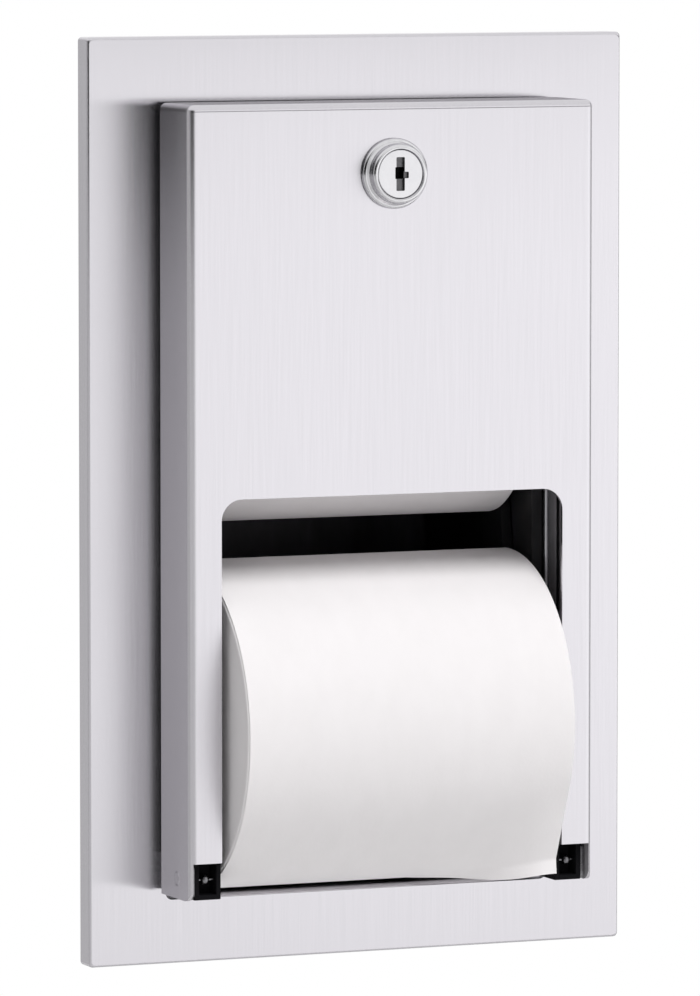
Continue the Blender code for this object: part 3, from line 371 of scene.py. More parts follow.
def makePaper(name, spec):
    material, nodes, links, shader = newMaterial(name)
    fibre = objectNoise(nodes, links, spec["fibreScale"], detail=4, roughness=0.6)
    soft = objectNoise(nodes, links, spec["softScale"])
    colourBy(nodes, links, shader, soft, spec["dark"], spec["light"])
    links.new(remap(nodes, links, fibre, *spec["roughness"]), shader.inputs["Roughness"])
    setSockets(shader, spec["sockets"])
    bumpBy(nodes, links, shader, fibre, spec["bump"], spec["bumpDistance"])
    return material


steel = makeBrushedSteel(brushedSteel)
plainSteel = makeMetal("plainSteel", light=(0.52, 0.51, 0.53), dark=(0.42, 0.41, 0.43),
                       roughness=(0.3, 0.45), scale=(220, 220, 60))
# painted shade: a dark copy of the steel for the hinge brackets and the bar in the hinge window, as dark as
# the shade in the door's notches
shadowedHingeSteel = makeMetal("shadowedHingeSteel", light=(0.24, 0.236, 0.248), dark=(0.16, 0.157, 0.166),
                       roughness=(0.22, 0.34), scale=(260, 260, 260))
# painted shade: a darker, duller copy of the steel for the door's inner faces and the strip's inner faces, as
# dim as the shade inside the door
shadowedInsideSteel = makeMetal("shadowedInsideSteel", light=(0.42, 0.41, 0.435), dark=(0.34, 0.332, 0.352),
                        roughness=(0.55, 0.65), scale=(120, 120, 40), metallic=0.35)
# painted shade: a near black copy of the steel for the cabinet and the latch keeper, as dark as the shade
# inside the cabinet
shadowedCabinetSteel = makeMetal("shadowedCabinetSteel", light=(0.12, 0.115, 0.125), dark=(0.06, 0.058, 0.064),
                      roughness=(0.4, 0.6), scale=(90, 90, 30))
steelPin = makeMetal("steelPin", light=(0.64, 0.625, 0.66), dark=(0.56, 0.55, 0.575),
                     roughness=(0.2, 0.3), scale=(500, 500, 500), bump=0.02)
chrome = makeMetal("chrome", light=(0.7, 0.695, 0.715), dark=(0.62, 0.615, 0.635),
                   roughness=(0.14, 0.2), scale=(300, 300, 300), bump=0.01)
brassTurned = makeMetal("brassTurned", light=(0.72, 0.56, 0.29), dark=(0.6, 0.46, 0.22),
                        roughness=(0.22, 0.38), scale=(300, 300, 300))
springWire = makeMetal("springWire", light=(0.42, 0.42, 0.44), dark=(0.3, 0.3, 0.32),
                       roughness=(0.25, 0.4), scale=(500, 500, 500))
# painted shade for the keyway: mid dark on its shallow faces, near black deep in
keywayShadeMetal = makeMetal("keywayShadeMetal", light=(0.16, 0.158, 0.165), dark=(0.11, 0.108, 0.114),
                     roughness=(0.3, 0.4), scale=(900, 900, 900))
keyShade = makeMetal("keyShade", light=(0.03, 0.03, 0.032), dark=(0.015, 0.015, 0.016),
                     roughness=(0.5, 0.7), scale=(900, 900, 900))
blackMoulding = makeMoulding("blackMoulding", light=(0.022, 0.022, 0.024), dark=(0.012, 0.012, 0.013),
                             roughness=(0.4, 0.6))
whiteTissue = makePaper("whiteTissue", paperLook)
# painted shade: a near black material for the strip behind the door's walls and the blocks in the hinge
# notches, where there is shade
shadeBlack = makeMoulding("shadeBlack", light=(0.012, 0.011, 0.013), dark=(0.007, 0.007, 0.008),
                      roughness=(0.75, 0.9), grain=1500, shine=0.03)
greyCard = makeMoulding("greyCard", light=(0.5, 0.45, 0.38), dark=(0.38, 0.34, 0.28),
                        roughness=(0.85, 0.95), grain=700)
print("materials made")


# Wall flange
flangeSpec = {
    "sheet": 0.0009, "bend": 0.0011, "corner": 0.0014, "returnDepth": 0.0080,
    "holeHalf": 0.0666, "holeTop": 0.1245, "holeBottom": -0.1279, "holeCorner": 0.0014,
    "neckBend": 0.0016, "neckDepth": 0.0120,
    "bendSegments": 8, "cornerSegments": 6,
    "cornerReach": 1.3,     # share of a drawn out corner within which its points lie
    "weld": 0.000002, "edgeBreak": 0.00012,
}


def makeFlange(spec):
    low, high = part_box("face_flange")
    front, bend = low[1], spec["neckBend"]
    half, top, bottom = spec["holeHalf"] + bend, spec["holeTop"] + bend, spec["holeBottom"] - bend
    piece = addPlane("wallFlange", (0, front, (top + bottom) / 2), 2 * half, top - bottom)
    editMode(piece)
    selectWhole()
    corner = spec["holeCorner"] + bend
    bpy.ops.mesh.bevel(offset=corner, segments=spec["cornerSegments"], affect="VERTICES")
    # the neck: the face turns back round its bend, then runs straight into the cabinet
    selectWhole()
    for i in range(spec["bendSegments"]):
        a, b = math.pi / 2 * i / spec["bendSegments"], math.pi / 2 * (i + 1) / spec["bendSegments"]
        bpy.ops.mesh.inset(thickness=bend * (math.sin(b) - math.sin(a)),
                           depth=-bend * (math.cos(a) - math.cos(b)))
    bpy.ops.mesh.extrude_region_move(TRANSFORM_OT_translate={"value": (0, spec["neckDepth"] - bend, 0)})
    bpy.ops.mesh.delete(type="FACE")
    # the face: the neck's rim drawn out to the edges of the plate
    pick(piece, "edges", lambda c, e: e.is_boundary and near(c.y, front))
    bpy.ops.mesh.extrude_region_move(TRANSFORM_OT_translate={"value": (0, 0, -(top + bottom) / 2)})
    wide, tall = high[0] / half, (high[2] - low[2]) / (top - bottom)
    bpy.ops.transform.resize(value=(wide, 1, tall))
    cornerX, cornerZ = corner * wide, corner * tall
    fromX, fromZ = high[0] - spec["cornerReach"] * cornerX, high[2] - spec["cornerReach"] * cornerZ
    for side in (-1, 1):
        for end in (-1, 1):
            pick(piece, "verts", lambda c, v: v.is_boundary and near(c.y, front)
                 and c.x * side > fromX and c.z * end > fromZ)
            bpy.ops.transform.resize(value=(spec["corner"] / cornerX, 1, spec["corner"] / cornerZ),
                                     center_override=(side * high[0], front, end * high[2]))
    # the return: the edges turned back to the wall
    pick(piece, "edges", lambda c, e: e.is_boundary and near(c.y, front))
    bpy.ops.mesh.extrude_region_move(TRANSFORM_OT_translate={"value": (0, spec["returnDepth"], 0)})
    pick(piece, "edges", lambda c, e: near(c.y, front) and not runsAlong(e, 1)
         and (abs(c.x) > high[0] - spec["corner"] or abs(c.z) > high[2] - spec["corner"]))
    bpy.ops.mesh.bevel(offset=spec["bend"], segments=spec["bendSegments"], affect="EDGES")
    selectWhole()
    bpy.ops.mesh.remove_doubles(threshold=spec["weld"])
    faceFront(piece)
    objectMode()
    applyModifier(piece, "SOLIDIFY", thickness=spec["sheet"], offset=-1, use_quality_normals=True)
    softenEdges(piece, spec["edgeBreak"], degrees=60)
    boxUnwrap(piece)
    return piece


flange = makeFlange(flangeSpec)
finishPiece(flange, steel, "cabinet", "satin_stainless", "face_flange")
print("flange made")


# Door
doorSpec = {
    "sheet": 0.0012, "bend": 0.0024, "bendSegments": 10,
    "openingHalf": 0.0598, "openingTop": 0.0028, "openingCorner": 0.0070, "openingSegments": 14,
    "legBottom": -0.1140, "toeRadius": 0.0050, "rearGap": 0.0036,
    "hingeBehindFront": 0.0118, "hingeRise": 0.0065, "pinHole": 0.00226, "swing": 0.0168,
    "lockDrop": 0.0228, "lockHole": 0.0093,
    "edgeBreak": 0.00016, "paintRim": 0.0002, "overrun": 0.002, "roundSteps": 64,
}


def makeDoor(spec):
    low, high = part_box("door_shell")
    front, half = low[1], high[0]
    piece = addBox("doorShell", low, (high[0], high[1] - spec["rearGap"], high[2]))
    editMode(piece)
    pick(piece, "faces", lambda c, f: f.normal.y > squareOn or f.normal.z < -squareOn)
    bpy.ops.mesh.delete(type="FACE")

    def folded(c, e):
        return near(c.y, front) + near(c.z, high[2]) + near(abs(c.x), half) > 1

    pick(piece, "edges", folded)
    bpy.ops.mesh.bevel(offset=spec["bend"], segments=spec["bendSegments"], affect="EDGES")
    # the lower rear corners lean in, clear of the flange as the door swings
    hingeY, hingeZ = front + spec["hingeBehindFront"], low[2] + spec["hingeRise"]
    lean = spec["swing"] - math.sqrt(spec["swing"] ** 2 - spec["hingeRise"] ** 2)
    selectWhole()
    bpy.ops.mesh.bisect(plane_co=(0, hingeY + spec["swing"], hingeZ),
                        plane_no=(0, spec["hingeRise"], -lean), clear_outer=True)
    objectMode()
    applyModifier(piece, "SOLIDIFY", thickness=spec["sheet"], offset=-1, use_quality_normals=True)

    # every cutter overruns the sheet that it goes through
    over = spec["overrun"]
    before, behind = front - over, front + 2 * over
    opening = addBox("opening", (-spec["openingHalf"], before, low[2] - 10 * over),
                     (spec["openingHalf"], behind, spec["openingTop"]))
    roundEdges(opening, spec["openingCorner"], spec["openingSegments"],
               lambda c, e: runsAlong(e, 1) and near(c.z, spec["openingTop"]))
    cutOut(piece, opening)
    for side in (-1, 1):
        xs = sideSpan(side, spec["openingHalf"] - over, half - spec["sheet"])
        cutOut(piece, addBox("notch", (xs[0], before, low[2] - over), (xs[1], behind, spec["legBottom"])))
        xs = sideSpan(side, half - 2 * over, half + over)
        cutOut(piece, addCylinder("pinHole", spec["pinHole"], *xs, "X", (hingeY, hingeZ)))
    # the side walls' lower front corners are rounded off
    toe = spec["toeRadius"]
    corner = addBox("toe", (-half - over, before, low[2] - over), (half + over, front + toe, low[2] + toe))
    cutOut(corner, addCylinder("toeRound", toe, -half - 2 * over, half + 2 * over, "X",
                               (front + toe, low[2] + toe), spec["roundSteps"]))
    cutOut(piece, corner)
    cutOut(piece, addCylinder("lockHole", spec["lockHole"], before, behind, "Y",
                              (0, high[2] - spec["lockDrop"]), spec["roundSteps"]))
    softenEdges(piece, spec["edgeBreak"])
    boxUnwrap(piece)
    return piece


door = makeDoor(doorSpec)
finishPiece(door, steel, "door", "satin_stainless", "door_shell")
doorLow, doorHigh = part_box("door_shell")
wallIn = doorSpec["sheet"] - doorSpec["paintRim"]
# the door's inner faces are painted shade in the darkened inside steel
paintFaces(door, shadowedInsideSteel, lambda c, f: abs(c.x) < doorHigh[0] - wallIn and c.y > doorLow[1] + wallIn
           and c.z < doorHigh[2] - wallIn)
print("door made")


# Lock, measured along Y from the door's front face
lockSpec = {
    "proud": 0.0060, "seat": 0.0003, "overrun": 0.002,
    "baseRadius": 0.0114, "baseThick": 0.0016, "baseRound": 0.0011,
    "neckRadius": 0.0097, "neckRise": 0.0007, "crownRadius": 0.0096, "crownRound": 0.0011,
    "bore": 0.0080, "lipDepth": 0.0005, "lipSlope": 0.0003, "ledge": 0.00785,
    "barrelRadius": 0.0090, "barrelLength": 0.0150,
    "flatShare": 0.88, "flatStart": 0.0015, "flatHalf": 0.02,
    "plugRadius": 0.0078, "plugRecess": 0.0005, "plugEdge": 0.0003, "plugBreak": 0.0001,
    # the stepped keyway, one cut a row: left, foot, right, head and depth
    "keyway": [(-0.00145, -0.0054, 0.00145, 0.0054, 0.0011),
               (-0.00185, -0.0016, 0.00145, 0.0022, 0.0042),
               (0, -0.0014, 0.00285, 0.0007, 0.00088)],
    "keyRound": 0.0003, "keyRim": 0.0003, "keyReach": 0.9,
}
lockPlace = Vector((0, doorLow[1], doorHigh[2] - doorSpec["lockDrop"]))
plugFace = lockPlace.y - lockSpec["proud"] + lockSpec["plugRecess"]


def makeBarrel(spec):
    front, seat, base = -spec["proud"], -spec["seat"], -spec["seat"] - spec["baseThick"]
    lip, crown, foot = front + spec["lipDepth"], spec["crownRound"], spec["baseRound"]
    profile = [(lip + spec["lipSlope"], spec["ledge"]), (lip, spec["bore"])]
    profile += arcPoints((front + crown, spec["crownRadius"] - crown), crown, 200, 90, 8)
    profile += [(base - spec["neckRise"], spec["neckRadius"])]
    profile += arcPoints((base + foot, spec["baseRadius"] - foot), foot, 180, 90, 7)
    profile += [(seat, spec["baseRadius"]), (seat, spec["barrelRadius"]),
                (spec["barrelLength"], spec["barrelRadius"]), (spec["barrelLength"], spec["ledge"])]
    piece = turnPiece("lockBezel", profile, lockPlace, "Y", closed=True)
    reach, over, (x, y, z) = spec["flatHalf"], spec["overrun"], lockPlace
    for side in (-1, 1):
        xs = sideSpan(side, spec["barrelRadius"] * spec["flatShare"], spec["barrelRadius"] + over)
        cutOut(piece, addBox("flat", (x + xs[0], y + spec["flatStart"], z - reach),
                             (x + xs[1], y + spec["barrelLength"] + over, z + reach)))
    shadeSmooth(piece, 32)
    return piece


def makePlug(spec):
    face = -spec["proud"] + spec["plugRecess"]
    radius, edge = spec["plugRadius"], spec["plugEdge"]
    profile = [(spec["barrelLength"], radius), (face + edge, radius)]
    profile += arcPoints((face + edge, radius - edge), edge, 90, 180, 4)[1:]
    piece = turnPiece("lockPlug", profile, lockPlace, "Y")
    x, y, z = lockPlace
    for left, foot, right, head, depth in spec["keyway"]:
        cutter = addBox("keyway", (x + left, y + face - spec["overrun"], z + foot),
                        (x + right, y + face + depth, z + head))
        roundEdges(cutter, spec["keyRound"], 3, lambda c, e: runsAlong(e, 1))
        cutOut(piece, cutter)
    softenEdges(piece, spec["plugBreak"])
    return piece


def inKeyway(depth):
    # a test for the faces of the keyway that lie deeper than this under the plug's face
    reach = lockSpec["keyReach"] * lockSpec["plugRadius"]
    return lambda c, f: c.y > plugFace + depth and math.hypot(c.x, c.z - lockPlace.z) < reach


barrel = makeBarrel(lockSpec)
finishPiece(barrel, chrome, "door", "polished_chrome", "lock_barrel")
plug = makePlug(lockSpec)
finishPiece(plug, chrome, "lock", "polished_chrome", "lock_plug")
# the keyway's faces are painted shade, darker the deeper they lie
paintFaces(plug, keywayShadeMetal, inKeyway(lockSpec["keyRim"]))
paintFaces(plug, keyShade, inKeyway(lockSpec["keyRim"] + lockSpec["keyway"][0][-1]))
print("lock made")


# Hinges: a pin that ends flush with the door's wall, and a near black block beside the bracket's ear, which
# stands in as painted shade for the bracket's shadowed inner plate
hingeSpec = {
    "shank": 0.0022, "pinStart": 0.0640, "startEdge": 0.0003, "endEdge": 0.0002, "pinSteps": 40,
    "sheet": 0.0012, "smooth": 40, "overrun": 0.001,
    "blockInner": 0.0588, "blockBack": 0.0190, "top": -0.1115, "edge": 0.0007, "edgeBreak": 0.00025,
    "window": (0.0017, 0.0016, 0.0030), "windowDeep": 0.0060,   # margins at the sides, foot and head
    "barRadius": 0.0005, "barInset": 0.001, "barEdge": 0.0001, "barSteps": 32,
    "barShare": 0.45,       # how far back it lies in the window
    "knobRadius": 0.0014, "knobAt": 0.0637, "knobFullness": 1.4, "knobSteps": 8,
}


def turnAcross(name, side, profile, y, steps):
    # a turned piece along X at the height of the hinge pins
    centre = (0, y, boxCentre("right_hinge_pin").z)
    piece = turnPiece(name, [(side * along, out) for along, out in profile], centre, "X", steps)
    shadeSmooth(piece, hingeSpec["smooth"])
    return piece


def makeHingePin(name, side, spec):
    start, outer, radius = spec["pinStart"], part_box("right_hinge_pin")[1][0], spec["shank"]
    profile = [(start, radius - spec["startEdge"]), (start + spec["startEdge"], radius),
               (outer - spec["endEdge"], radius), (outer, radius - spec["endEdge"])]
    return turnAcross(name, side, profile, boxCentre("right_hinge_pin").y, spec["pinSteps"])


def makeHingeBlock(name, side, spec):
    low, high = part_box("right_hinge_bracket")
    front, inner = low[1], spec["blockInner"]
    xs = sideSpan(side, inner, high[0] - spec["sheet"])
    piece = addBox(name, (xs[0], front, low[2]), (xs[1], front + spec["blockBack"], spec["top"]))
    roundEdges(piece, spec["edge"], 4, lambda c, e: runsAlong(e, 2) and near(abs(c.x), inner))
    aside, foot, head = spec["window"]
    cutOut(piece, addBox("window", (xs[0] + aside, front - spec["overrun"], low[2] + foot),
                         (xs[1] - aside, front + spec["windowDeep"], spec["top"] - head)))
    softenEdges(piece, spec["edgeBreak"], 3, 40)
    return piece


def makeHingeBar(name, side, spec):
    # the pin's thin inner end, seen through the block's window, with a turned knob on it
    low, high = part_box("right_hinge_bracket")
    bar, knob, middle, edge = spec["barRadius"], spec["knobRadius"], spec["knobAt"], spec["barEdge"]
    start, end = spec["blockInner"] + spec["barInset"], high[0] - spec["sheet"] - spec["barInset"]
    profile = [(start, bar - edge), (start + edge, bar), (middle - knob, bar)]
    for i in range(1, spec["knobSteps"]):
        turn = math.pi * i / spec["knobSteps"]
        swell = (knob - bar) * math.sin(turn) * spec["knobFullness"]
        profile.append((middle - knob * math.cos(turn), bar + swell))
    profile += [(middle + knob, bar), (end - edge, bar), (end, bar - edge)]
    return turnAcross(name, side, profile, low[1] + spec["windowDeep"] * spec["barShare"], spec["barSteps"])


for side, label in ((-1, "left"), (1, "right")):
    hingePin = makeHingePin(label + "HingePin", side, hingeSpec)
    finishPiece(hingePin, steelPin, "cabinet", "plain_stainless", label + "_hinge_pin")
    hingeBlock = makeHingeBlock(label + "HingeBlock", side, hingeSpec)
    # the block is painted shade, near black
    finishPiece(hingeBlock, shadeBlack, "cabinet", "black_moulding")
    hingeBar = makeHingeBar(label + "HingeBar", side, hingeSpec)
    # the bar is painted shade in the dark steel
    finishPiece(hingeBar, shadowedHingeSteel, "cabinet", "plain_stainless")
print("hinges made")


# Shade strip: a black strip on the wall flange, just inside the door's side and top walls, which stands in as
# painted shade for the dark gap behind the door
shadeStripSpec = {
    "inner": 0.0684, "outer": 0.0693, "innerTop": 0.1262, "outerTop": 0.1276, "foot": -0.1128,
    "thick": 0.0062, "corner": 0.0030, "cornerSegments": 6, "edge": 0.0003, "overrun": 0.01,
}


def makeShadeStrip(spec):
    base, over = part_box("face_flange")[0][1], spec["overrun"]
    piece = addBox("doorShadeStrip", (-spec["outer"], base - spec["thick"], spec["foot"]),
                   (spec["outer"], base, spec["outerTop"]))
    roundEdges(piece, spec["corner"], spec["cornerSegments"],
               lambda c, e: runsAlong(e, 1) and near(c.z, spec["outerTop"]))
    cutOut(piece, addBox("inside", (-spec["inner"], base - over, spec["foot"] - over),
                         (spec["inner"], base + over, spec["innerTop"])))
    softenEdges(piece, spec["edge"], 3, 40)
    return piece


shadeStrip = makeShadeStrip(shadeStripSpec)
finishPiece(shadeStrip, shadeBlack, "cabinet", "black_moulding")
# its inner faces are painted shade in the darkened inside steel, for the dim neck behind the door
paintFaces(shadeStrip, shadowedInsideSteel, lambda c, f: abs(f.normal.x) > squareOn and near(abs(c.x), shadeStripSpec["inner"]))
print("seal made")


# Rolls
rollSpec = {
    "radius": 0.0530, "core": 0.0221, "edge": 0.0007, "half": 0.05715,
    "ringSteps": 12, "ringDepth": 0.00022, "ringBeats": (2.4, 1.1),
    "steps": 160, "spans": 14, "waveSize": 0.035, "wave": 0.0004, "waveMiddle": 0.6,
    "sag": 0.0032, "sagAt": 262, "sagSpread": 30,
}
tailSpec = {
    "width": 0.1136, "startDeg": 70, "thickness": 0.00018, "stand": 0.0004,
    "sink": 0.0012, "rise": 0.02,         # it starts this deep in the roll and has come out after this length
    "wrapEnd": 276,                       # left part: wrapped on round, past the roll's lowest point
    "flapStart": 203, "flapEnd": 237.6,   # right corner: where it leaves the roll and where it ends
    "flapReach": 0.046,                   # from the right edge to where the flap begins
    "startCurve": 0.6, "endCurve": 0.46,  # how fast both go from the left part's to the right corner's
    "lip": 0.0052, "lipOut": 0.5,         # its folded last bit
    "askew": (0.008, 21, 0.7), "ripple": (0.0003, 26, 1.3), "rippleRise": 0.01,   # waves: size, beat, start
    "columns": 120, "rows": 150,
}


def makeRoll(name, centre, spec, sag=0):
    # outer edge rounded, ends stepped in slight rings where the layers have slipped
    half, radius, edge, core = spec["half"], spec["radius"], spec["edge"], spec["core"]
    first, second = spec["ringBeats"]
    end = []
    for i in range(1, spec["ringSteps"]):
        share = i / spec["ringSteps"]
        slip = spec["ringDepth"] * (0.5 + 0.5 * math.sin(i * first) * math.cos(i * second))
        end.append((-half + slip, core + (radius - edge - core) * share))
    left = [(-half, core)] + end + arcPoints((-half + edge, radius - edge), edge, 180, 90, 5)
    spans = [(-half + edge + (2 * half - 2 * edge) * i / spec["spans"], radius)
             for i in range(1, spec["spans"])]
    right = [(-along, out) for along, out in reversed(left)]
    piece = turnPiece(name, left + spans + right, centre, "X", spec["steps"], closed=True)
    axisY, axisZ = centre[1], centre[2]
    for v in piece.data.vertices:
        # the outer layers hang a little slack below the reserve roll
        y, z = v.co.y - axisY, v.co.z - axisZ
        out = math.hypot(y, z)
        off = (math.degrees(math.atan2(z, y)) % 360 - spec["sagAt"]) / spec["sagSpread"]
        if sag and abs(off) < 1:
            share = max(0, (out - core) / (radius - core)) ** 3
            grow = 1 + sag * share * (1 - off * off) ** 2 / out
            v.co.y, v.co.z = axisY + y * grow, axisZ + z * grow
    outer = piece.vertex_groups.new(name="outer")
    outer.add([v.index for v in piece.data.vertices
               if math.hypot(v.co.y - axisY, v.co.z - axisZ) > radius - edge / 2], 1, "REPLACE")
    texture = bpy.data.textures.new(name + "Wave", "CLOUDS")
    texture.noise_scale = spec["waveSize"]
    applyModifier(piece, "DISPLACE", texture=texture, strength=spec["wave"], mid_level=spec["waveMiddle"],
                  vertex_group="outer", texture_coords="GLOBAL")
    shadeSmooth(piece, 50)
    return piece


def waveAt(across, size, beat, start):
    return size * math.sin(across * beat + start)


def makeTail(name, centre, spec):
    # the outer ply comes out of the roll behind, runs down the front and ends askew, its right corner loose
    deselectAll()
    bpy.ops.mesh.primitive_grid_add(x_subdivisions=spec["columns"], y_subdivisions=spec["rows"], size=1)
    piece = bpy.context.object
    piece.name = name
    width, start, wrapEnd = spec["width"], math.radians(spec["startDeg"]), spec["wrapEnd"]
    radius = rollSpec["radius"] + spec["stand"]
    for v in piece.data.vertices:
        across, down = v.co.x, v.co.y + 0.5
        loose = max(0, min(1, (across * width - width / 2) / spec["flapReach"] + 1))
        ease = loose * loose * (3 - 2 * loose)
        leave = math.radians(wrapEnd + (spec["flapStart"] - wrapEnd) * ease ** spec["startCurve"])
        finish = math.radians(wrapEnd + (spec["flapEnd"] - wrapEnd) * ease ** spec["endCurve"])
        finish += waveAt(across, *spec["askew"])
        reach = down * (finish - start) * radius
        onRoll = (leave - start) * radius
        risen = min(1, reach / spec["rise"])
        out = radius - spec["sink"] * (1 - risen) ** 2
        turn = start + min(reach, onRoll) / radius
        y, z = math.cos(turn) * out, math.sin(turn) * out
        if reach > onRoll:
            free = reach - onRoll
            last = (finish - leave) * radius
            lip = max(0, free - last + spec["lip"])   # folded forward a little
            y += -math.sin(leave) * free - spec["lipOut"] * lip * ease
            z += math.cos(leave) * free
            z += waveAt(across, *spec["ripple"]) * ease * min(1, free / spec["rippleRise"])
        v.co = (across * width + centre[0], y + centre[1], z + centre[2])
    area = sum(face.area for face in piece.data.polygons)
    longest = (math.radians(wrapEnd) - start) * radius
    applyModifier(piece, "SOLIDIFY", thickness=spec["thickness"], offset=0)
    shadeSmooth(piece, 60)
    return piece, (width, longest), area


lowerCentre, upperCentre = boxCentre("lower_core"), boxCentre("upper_core")
lowerRoll = makeRoll("lowerRoll", lowerCentre, rollSpec)
finishPiece(lowerRoll, whiteTissue, "lower_roll", "tissue_paper", "lower_paper_roll")
upperRoll = makeRoll("upperRoll", upperCentre, rollSpec, rollSpec["sag"])
finishPiece(upperRoll, whiteTissue, "upper_roll", "tissue_paper", "upper_paper_roll")
tail, tailFlat, tailArea = makeTail("looseEnd", lowerCentre, tailSpec)
finishPiece(tail, whiteTissue, "lower_roll", "tissue_paper")
print("rolls made")


# Pieces carried over from the frame; the rest of them are plain steel
finishes = {
    # the cabinet and the latch keeper are painted shade in the near black steel
    "cabinet_shell": shadowedCabinetSteel, "latch_keeper": shadowedCabinetSteel,
    # the hinge brackets are painted shade in the dark steel
    "left_hinge_bracket": shadowedHingeSteel, "right_hinge_bracket": shadowedHingeSteel,
    "lock_cam_screw": brassTurned,
    "lower_core": greyCard, "upper_core": greyCard,
    "left_guide": blackMoulding, "right_guide": blackMoulding,
    "lower_spindle_sleeve": blackMoulding, "lower_spindle_plunger": blackMoulding,
    "upper_spindle_sleeve": blackMoulding, "upper_spindle_plunger": blackMoulding,
    "lower_spindle_spring": springWire, "upper_spindle_spring": springWire, "cradle_spring": springWire,
}
for name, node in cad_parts.items():
    if not node.hide_render:
        node.data.materials.clear()
        node.data.materials.append(finishes.get(name, plainSteel))
print("carried-over pieces finished")


# Studio: white world, pale floor, soft lights, grey cards that the steel reflects, and a white wall round the
# cabinet, which is built in; the wall is seen from the front only
studio = {
    "ambient": 0.42,
    "floorZ": -0.75, "floorRadius": 1.3, "floorSteps": 96,
    "floorLook": {"Base Color": (0.9, 0.9, 0.9, 1), "Roughness": 0.8},
    "wallHalf": (0.165, 0.185), "wallDepth": 0.0085, "wallGap": 0.001,
}
lights = {
    "keyLight": {"place": (0.25, -1.5, 1.98), "size": 1.1, "power": 40},
    "fillLight": {"place": (-0.3, -2.2, -0.7), "size": 1.6, "power": 10},
}
lightAim = Vector((0, -0.1, 0))

# Each card faces the object from an azimuth; shades run up it by height, and across it by share
cards = {
    "leftCard": {"azimuth": -38, "distance": 1.25, "half": 0.76, "shades": [
        (-0.9, 0.68), (-0.12, 0.68), (0.0, 0.59), (0.05, 0.27), (0.08, 0.01), (0.5, 0.01), (1.1, 0.8)]},
    "frontCard": {"azimuth": 36, "distance": 2.5, "half": 2.1, "shades": [
        (-1.8, 1.13), (-0.6, 1.13), (-0.36, 1.28), (0.0, 1.35), (0.06, 1.3), (0.15, 1.1), (0.2, 0.5),
        (0.6, 0.5), (0.75, 1.2), (1.4, 1.2)], "across": [(0, 0.9), (0.26, 0.92), (0.45, 1.1), (1, 1.1)]},
    "rightCard": {"azimuth": 112, "distance": 2.5, "half": 1.3, "shades": [(-1.2, 0.46), (1.2, 0.46)]},
    "farLeftCard": {"azimuth": -100, "distance": 1.6, "half": 0.75, "shades": [(-1.0, 0.55), (1.1, 0.55)]},
    "leftRearCard": {"azimuth": -155, "distance": 3.0, "half": 1.4, "shades": [(-1.2, 0.66), (1.2, 0.66)]},
}


def hideFrom(piece, *rays):
    for kind in rays:
        setattr(piece, "visible_" + kind, False)


def makeWorld(spec):
    # full white to the camera and to reflections, dimmer as a light
    world = bpy.data.worlds.new("studioWorld")
    bpy.context.scene.world = world
    world.use_nodes = True
    nodes, links = world.node_tree.nodes, world.node_tree.links
    background = nodes["Background"]
    background.inputs["Color"].default_value = (1, 1, 1, 1)
    rays = nodes.new("ShaderNodeLightPath")
    seen = rays.outputs["Is Camera Ray"]
    for kind in ("Is Glossy Ray", "Is Transmission Ray"):
        either = nodes.new("ShaderNodeMath")
        either.operation = "MAXIMUM"
        links.new(seen, either.inputs[0])
        links.new(rays.outputs[kind], either.inputs[1])
        seen = either.outputs[0]
    links.new(remap(nodes, links, seen, spec["ambient"], 1, 0, 1), background.inputs["Strength"])


def makeFloor(spec):
    deselectAll()
    bpy.ops.mesh.primitive_circle_add(vertices=spec["floorSteps"], radius=spec["floorRadius"],
                                      fill_type="NGON", location=(0, 0, spec["floorZ"]))
    floor = bpy.context.object
    floor.name = "floor"
    material, *_, shader = newMaterial("paleFloor")
    setSockets(shader, spec["floorLook"])
    floor.data.materials.append(material)


def addLight(name, spec):
    deselectAll()
    bpy.ops.object.light_add(type="AREA", location=spec["place"])
    light = bpy.context.object
    light.name = name
    light.data.size = spec["size"]
    light.data.energy = spec["power"]
    light.rotation_euler = (lightAim - light.location).to_track_quat("-Z", "Y").to_euler()
    hideFrom(light, "glossy", "camera")


def makeWall(spec):
    # a plate with a hole in it for the cabinet
    low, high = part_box("cabinet_shell")
    middle, tall = (low[2] + high[2]) / 2, high[2] - low[2]
    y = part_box("face_flange")[0][1] + spec["wallDepth"]
    wall = addPlane("wall", (0, y, middle), high[0] - low[0] + spec["wallGap"], tall + spec["wallGap"])
    editMode(wall)
    selectWhole()
    bpy.ops.mesh.extrude_region_move(TRANSFORM_OT_translate={"value": (0, 0, 0)})
    bpy.ops.transform.resize(value=(spec["wallHalf"][0] / high[0], 1, 2 * spec["wallHalf"][1] / tall))
    pick(wall, "faces", lambda c, f: near(c.x, 0) and near(c.z, middle))
    bpy.ops.mesh.delete(type="FACE")
    faceFront(wall)
    objectMode()
    # white from the front, clear from behind
    material, nodes, links, shader = newMaterial("whiteWall")
    nodes.remove(shader)
    white, clear = nodes.new("ShaderNodeEmission"), nodes.new("ShaderNodeBsdfTransparent")
    side, mix = nodes.new("ShaderNodeNewGeometry"), nodes.new("ShaderNodeMixShader")
    links.new(side.outputs["Backfacing"], mix.inputs[0])
    links.new(white.outputs[0], mix.inputs[1])
    links.new(clear.outputs[0], mix.inputs[2])
    links.new(mix.outputs[0], nodes["Material Output"].inputs["Surface"])
    wall.data.materials.append(material)
    hideFrom(wall, "diffuse", "glossy", "transmission", "shadow")


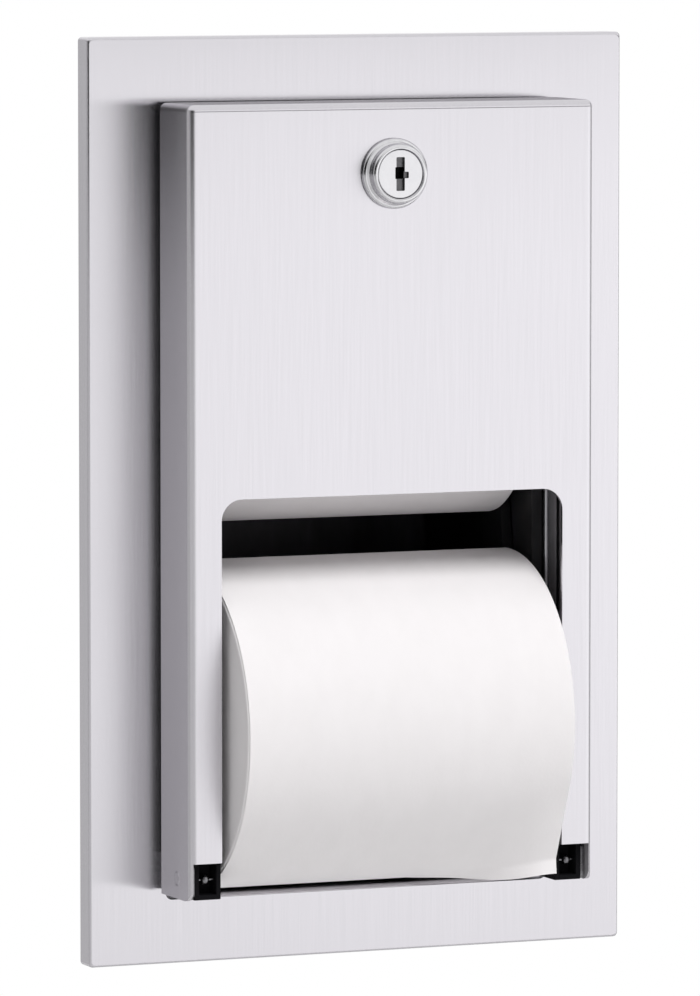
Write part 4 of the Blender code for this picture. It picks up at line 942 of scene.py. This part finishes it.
def addCard(name, spec):
    deselectAll()
    angle, shades = math.radians(spec["azimuth"]), spec["shades"]
    lowZ, tall = shades[0][0], shades[-1][0] - shades[0][0]
    place = Vector((math.sin(angle) * spec["distance"], -math.cos(angle) * spec["distance"], lowZ + tall / 2))
    bpy.ops.mesh.primitive_plane_add(size=1, location=place, rotation=(math.pi / 2, 0, angle))
    card = bpy.context.object
    card.name = name
    card.scale = (2 * spec["half"], tall, 1)
    # its glow is the shade up its UV map times the shade across it
    material, nodes, links, shader = newMaterial(name)
    nodes.remove(shader)
    coords, split = nodes.new("ShaderNodeTexCoord"), nodes.new("ShaderNodeSeparateXYZ")
    both, glow = nodes.new("ShaderNodeMath"), nodes.new("ShaderNodeEmission")
    both.operation = "MULTIPLY"
    links.new(coords.outputs["UV"], split.inputs[0])
    upward = [((height - lowZ) / tall, grey) for height, grey in shades]
    across = spec.get("across", [(0, 1), (1, 1)])
    for i, (axis, stops) in enumerate((("Y", upward), ("X", across))):
        ramp = nodes.new("ShaderNodeValToRGB")
        links.new(split.outputs[axis], ramp.inputs["Fac"])
        links.new(ramp.outputs["Color"], both.inputs[i])
        elements = ramp.color_ramp.elements
        while len(elements) < len(stops):
            elements.new(0.5)
        for element, (position, grey) in zip(elements, stops):
            element.position = position
            element.color = (grey, grey, grey, 1)
    links.new(both.outputs[0], glow.inputs["Strength"])
    links.new(glow.outputs[0], nodes["Material Output"].inputs["Surface"])
    card.data.materials.append(material)
    hideFrom(card, "camera", "diffuse", "shadow")


makeWorld(studio)
makeFloor(studio)
for name, spec in lights.items():
    addLight(name, spec)
makeWall(studio)
for name, spec in cards.items():
    addCard(name, spec)
print("studio made")


# Camera, where the photograph was taken from
cameraSpec = {
    "lens": 284.7, "sensor": 36, "clip": (0.05, 50),
    "yaw": 23, "pitch": 4.855, "distance": 2.565, "aim": (-0.00265, -0.098, -0.0007),
}


def makeCamera(spec):
    yaw, pitch = math.radians(spec["yaw"]), math.radians(spec["pitch"])
    way = Vector((math.sin(yaw) * math.cos(pitch), math.cos(yaw) * math.cos(pitch), -math.sin(pitch)))
    data = bpy.data.cameras.new("camera")
    camera = bpy.data.objects.new("camera", data)
    bpy.context.collection.objects.link(camera)
    camera.location = Vector(spec["aim"]) - way * spec["distance"]
    camera.rotation_euler = way.to_track_quat("-Z", "Y").to_euler()
    data.lens, data.sensor_width = spec["lens"], spec["sensor"]
    data.clip_start, data.clip_end = spec["clip"]
    bpy.context.scene.camera = camera


makeCamera(cameraSpec)
bpy.context.scene.view_settings.view_transform = "Standard"

print("scene ready")
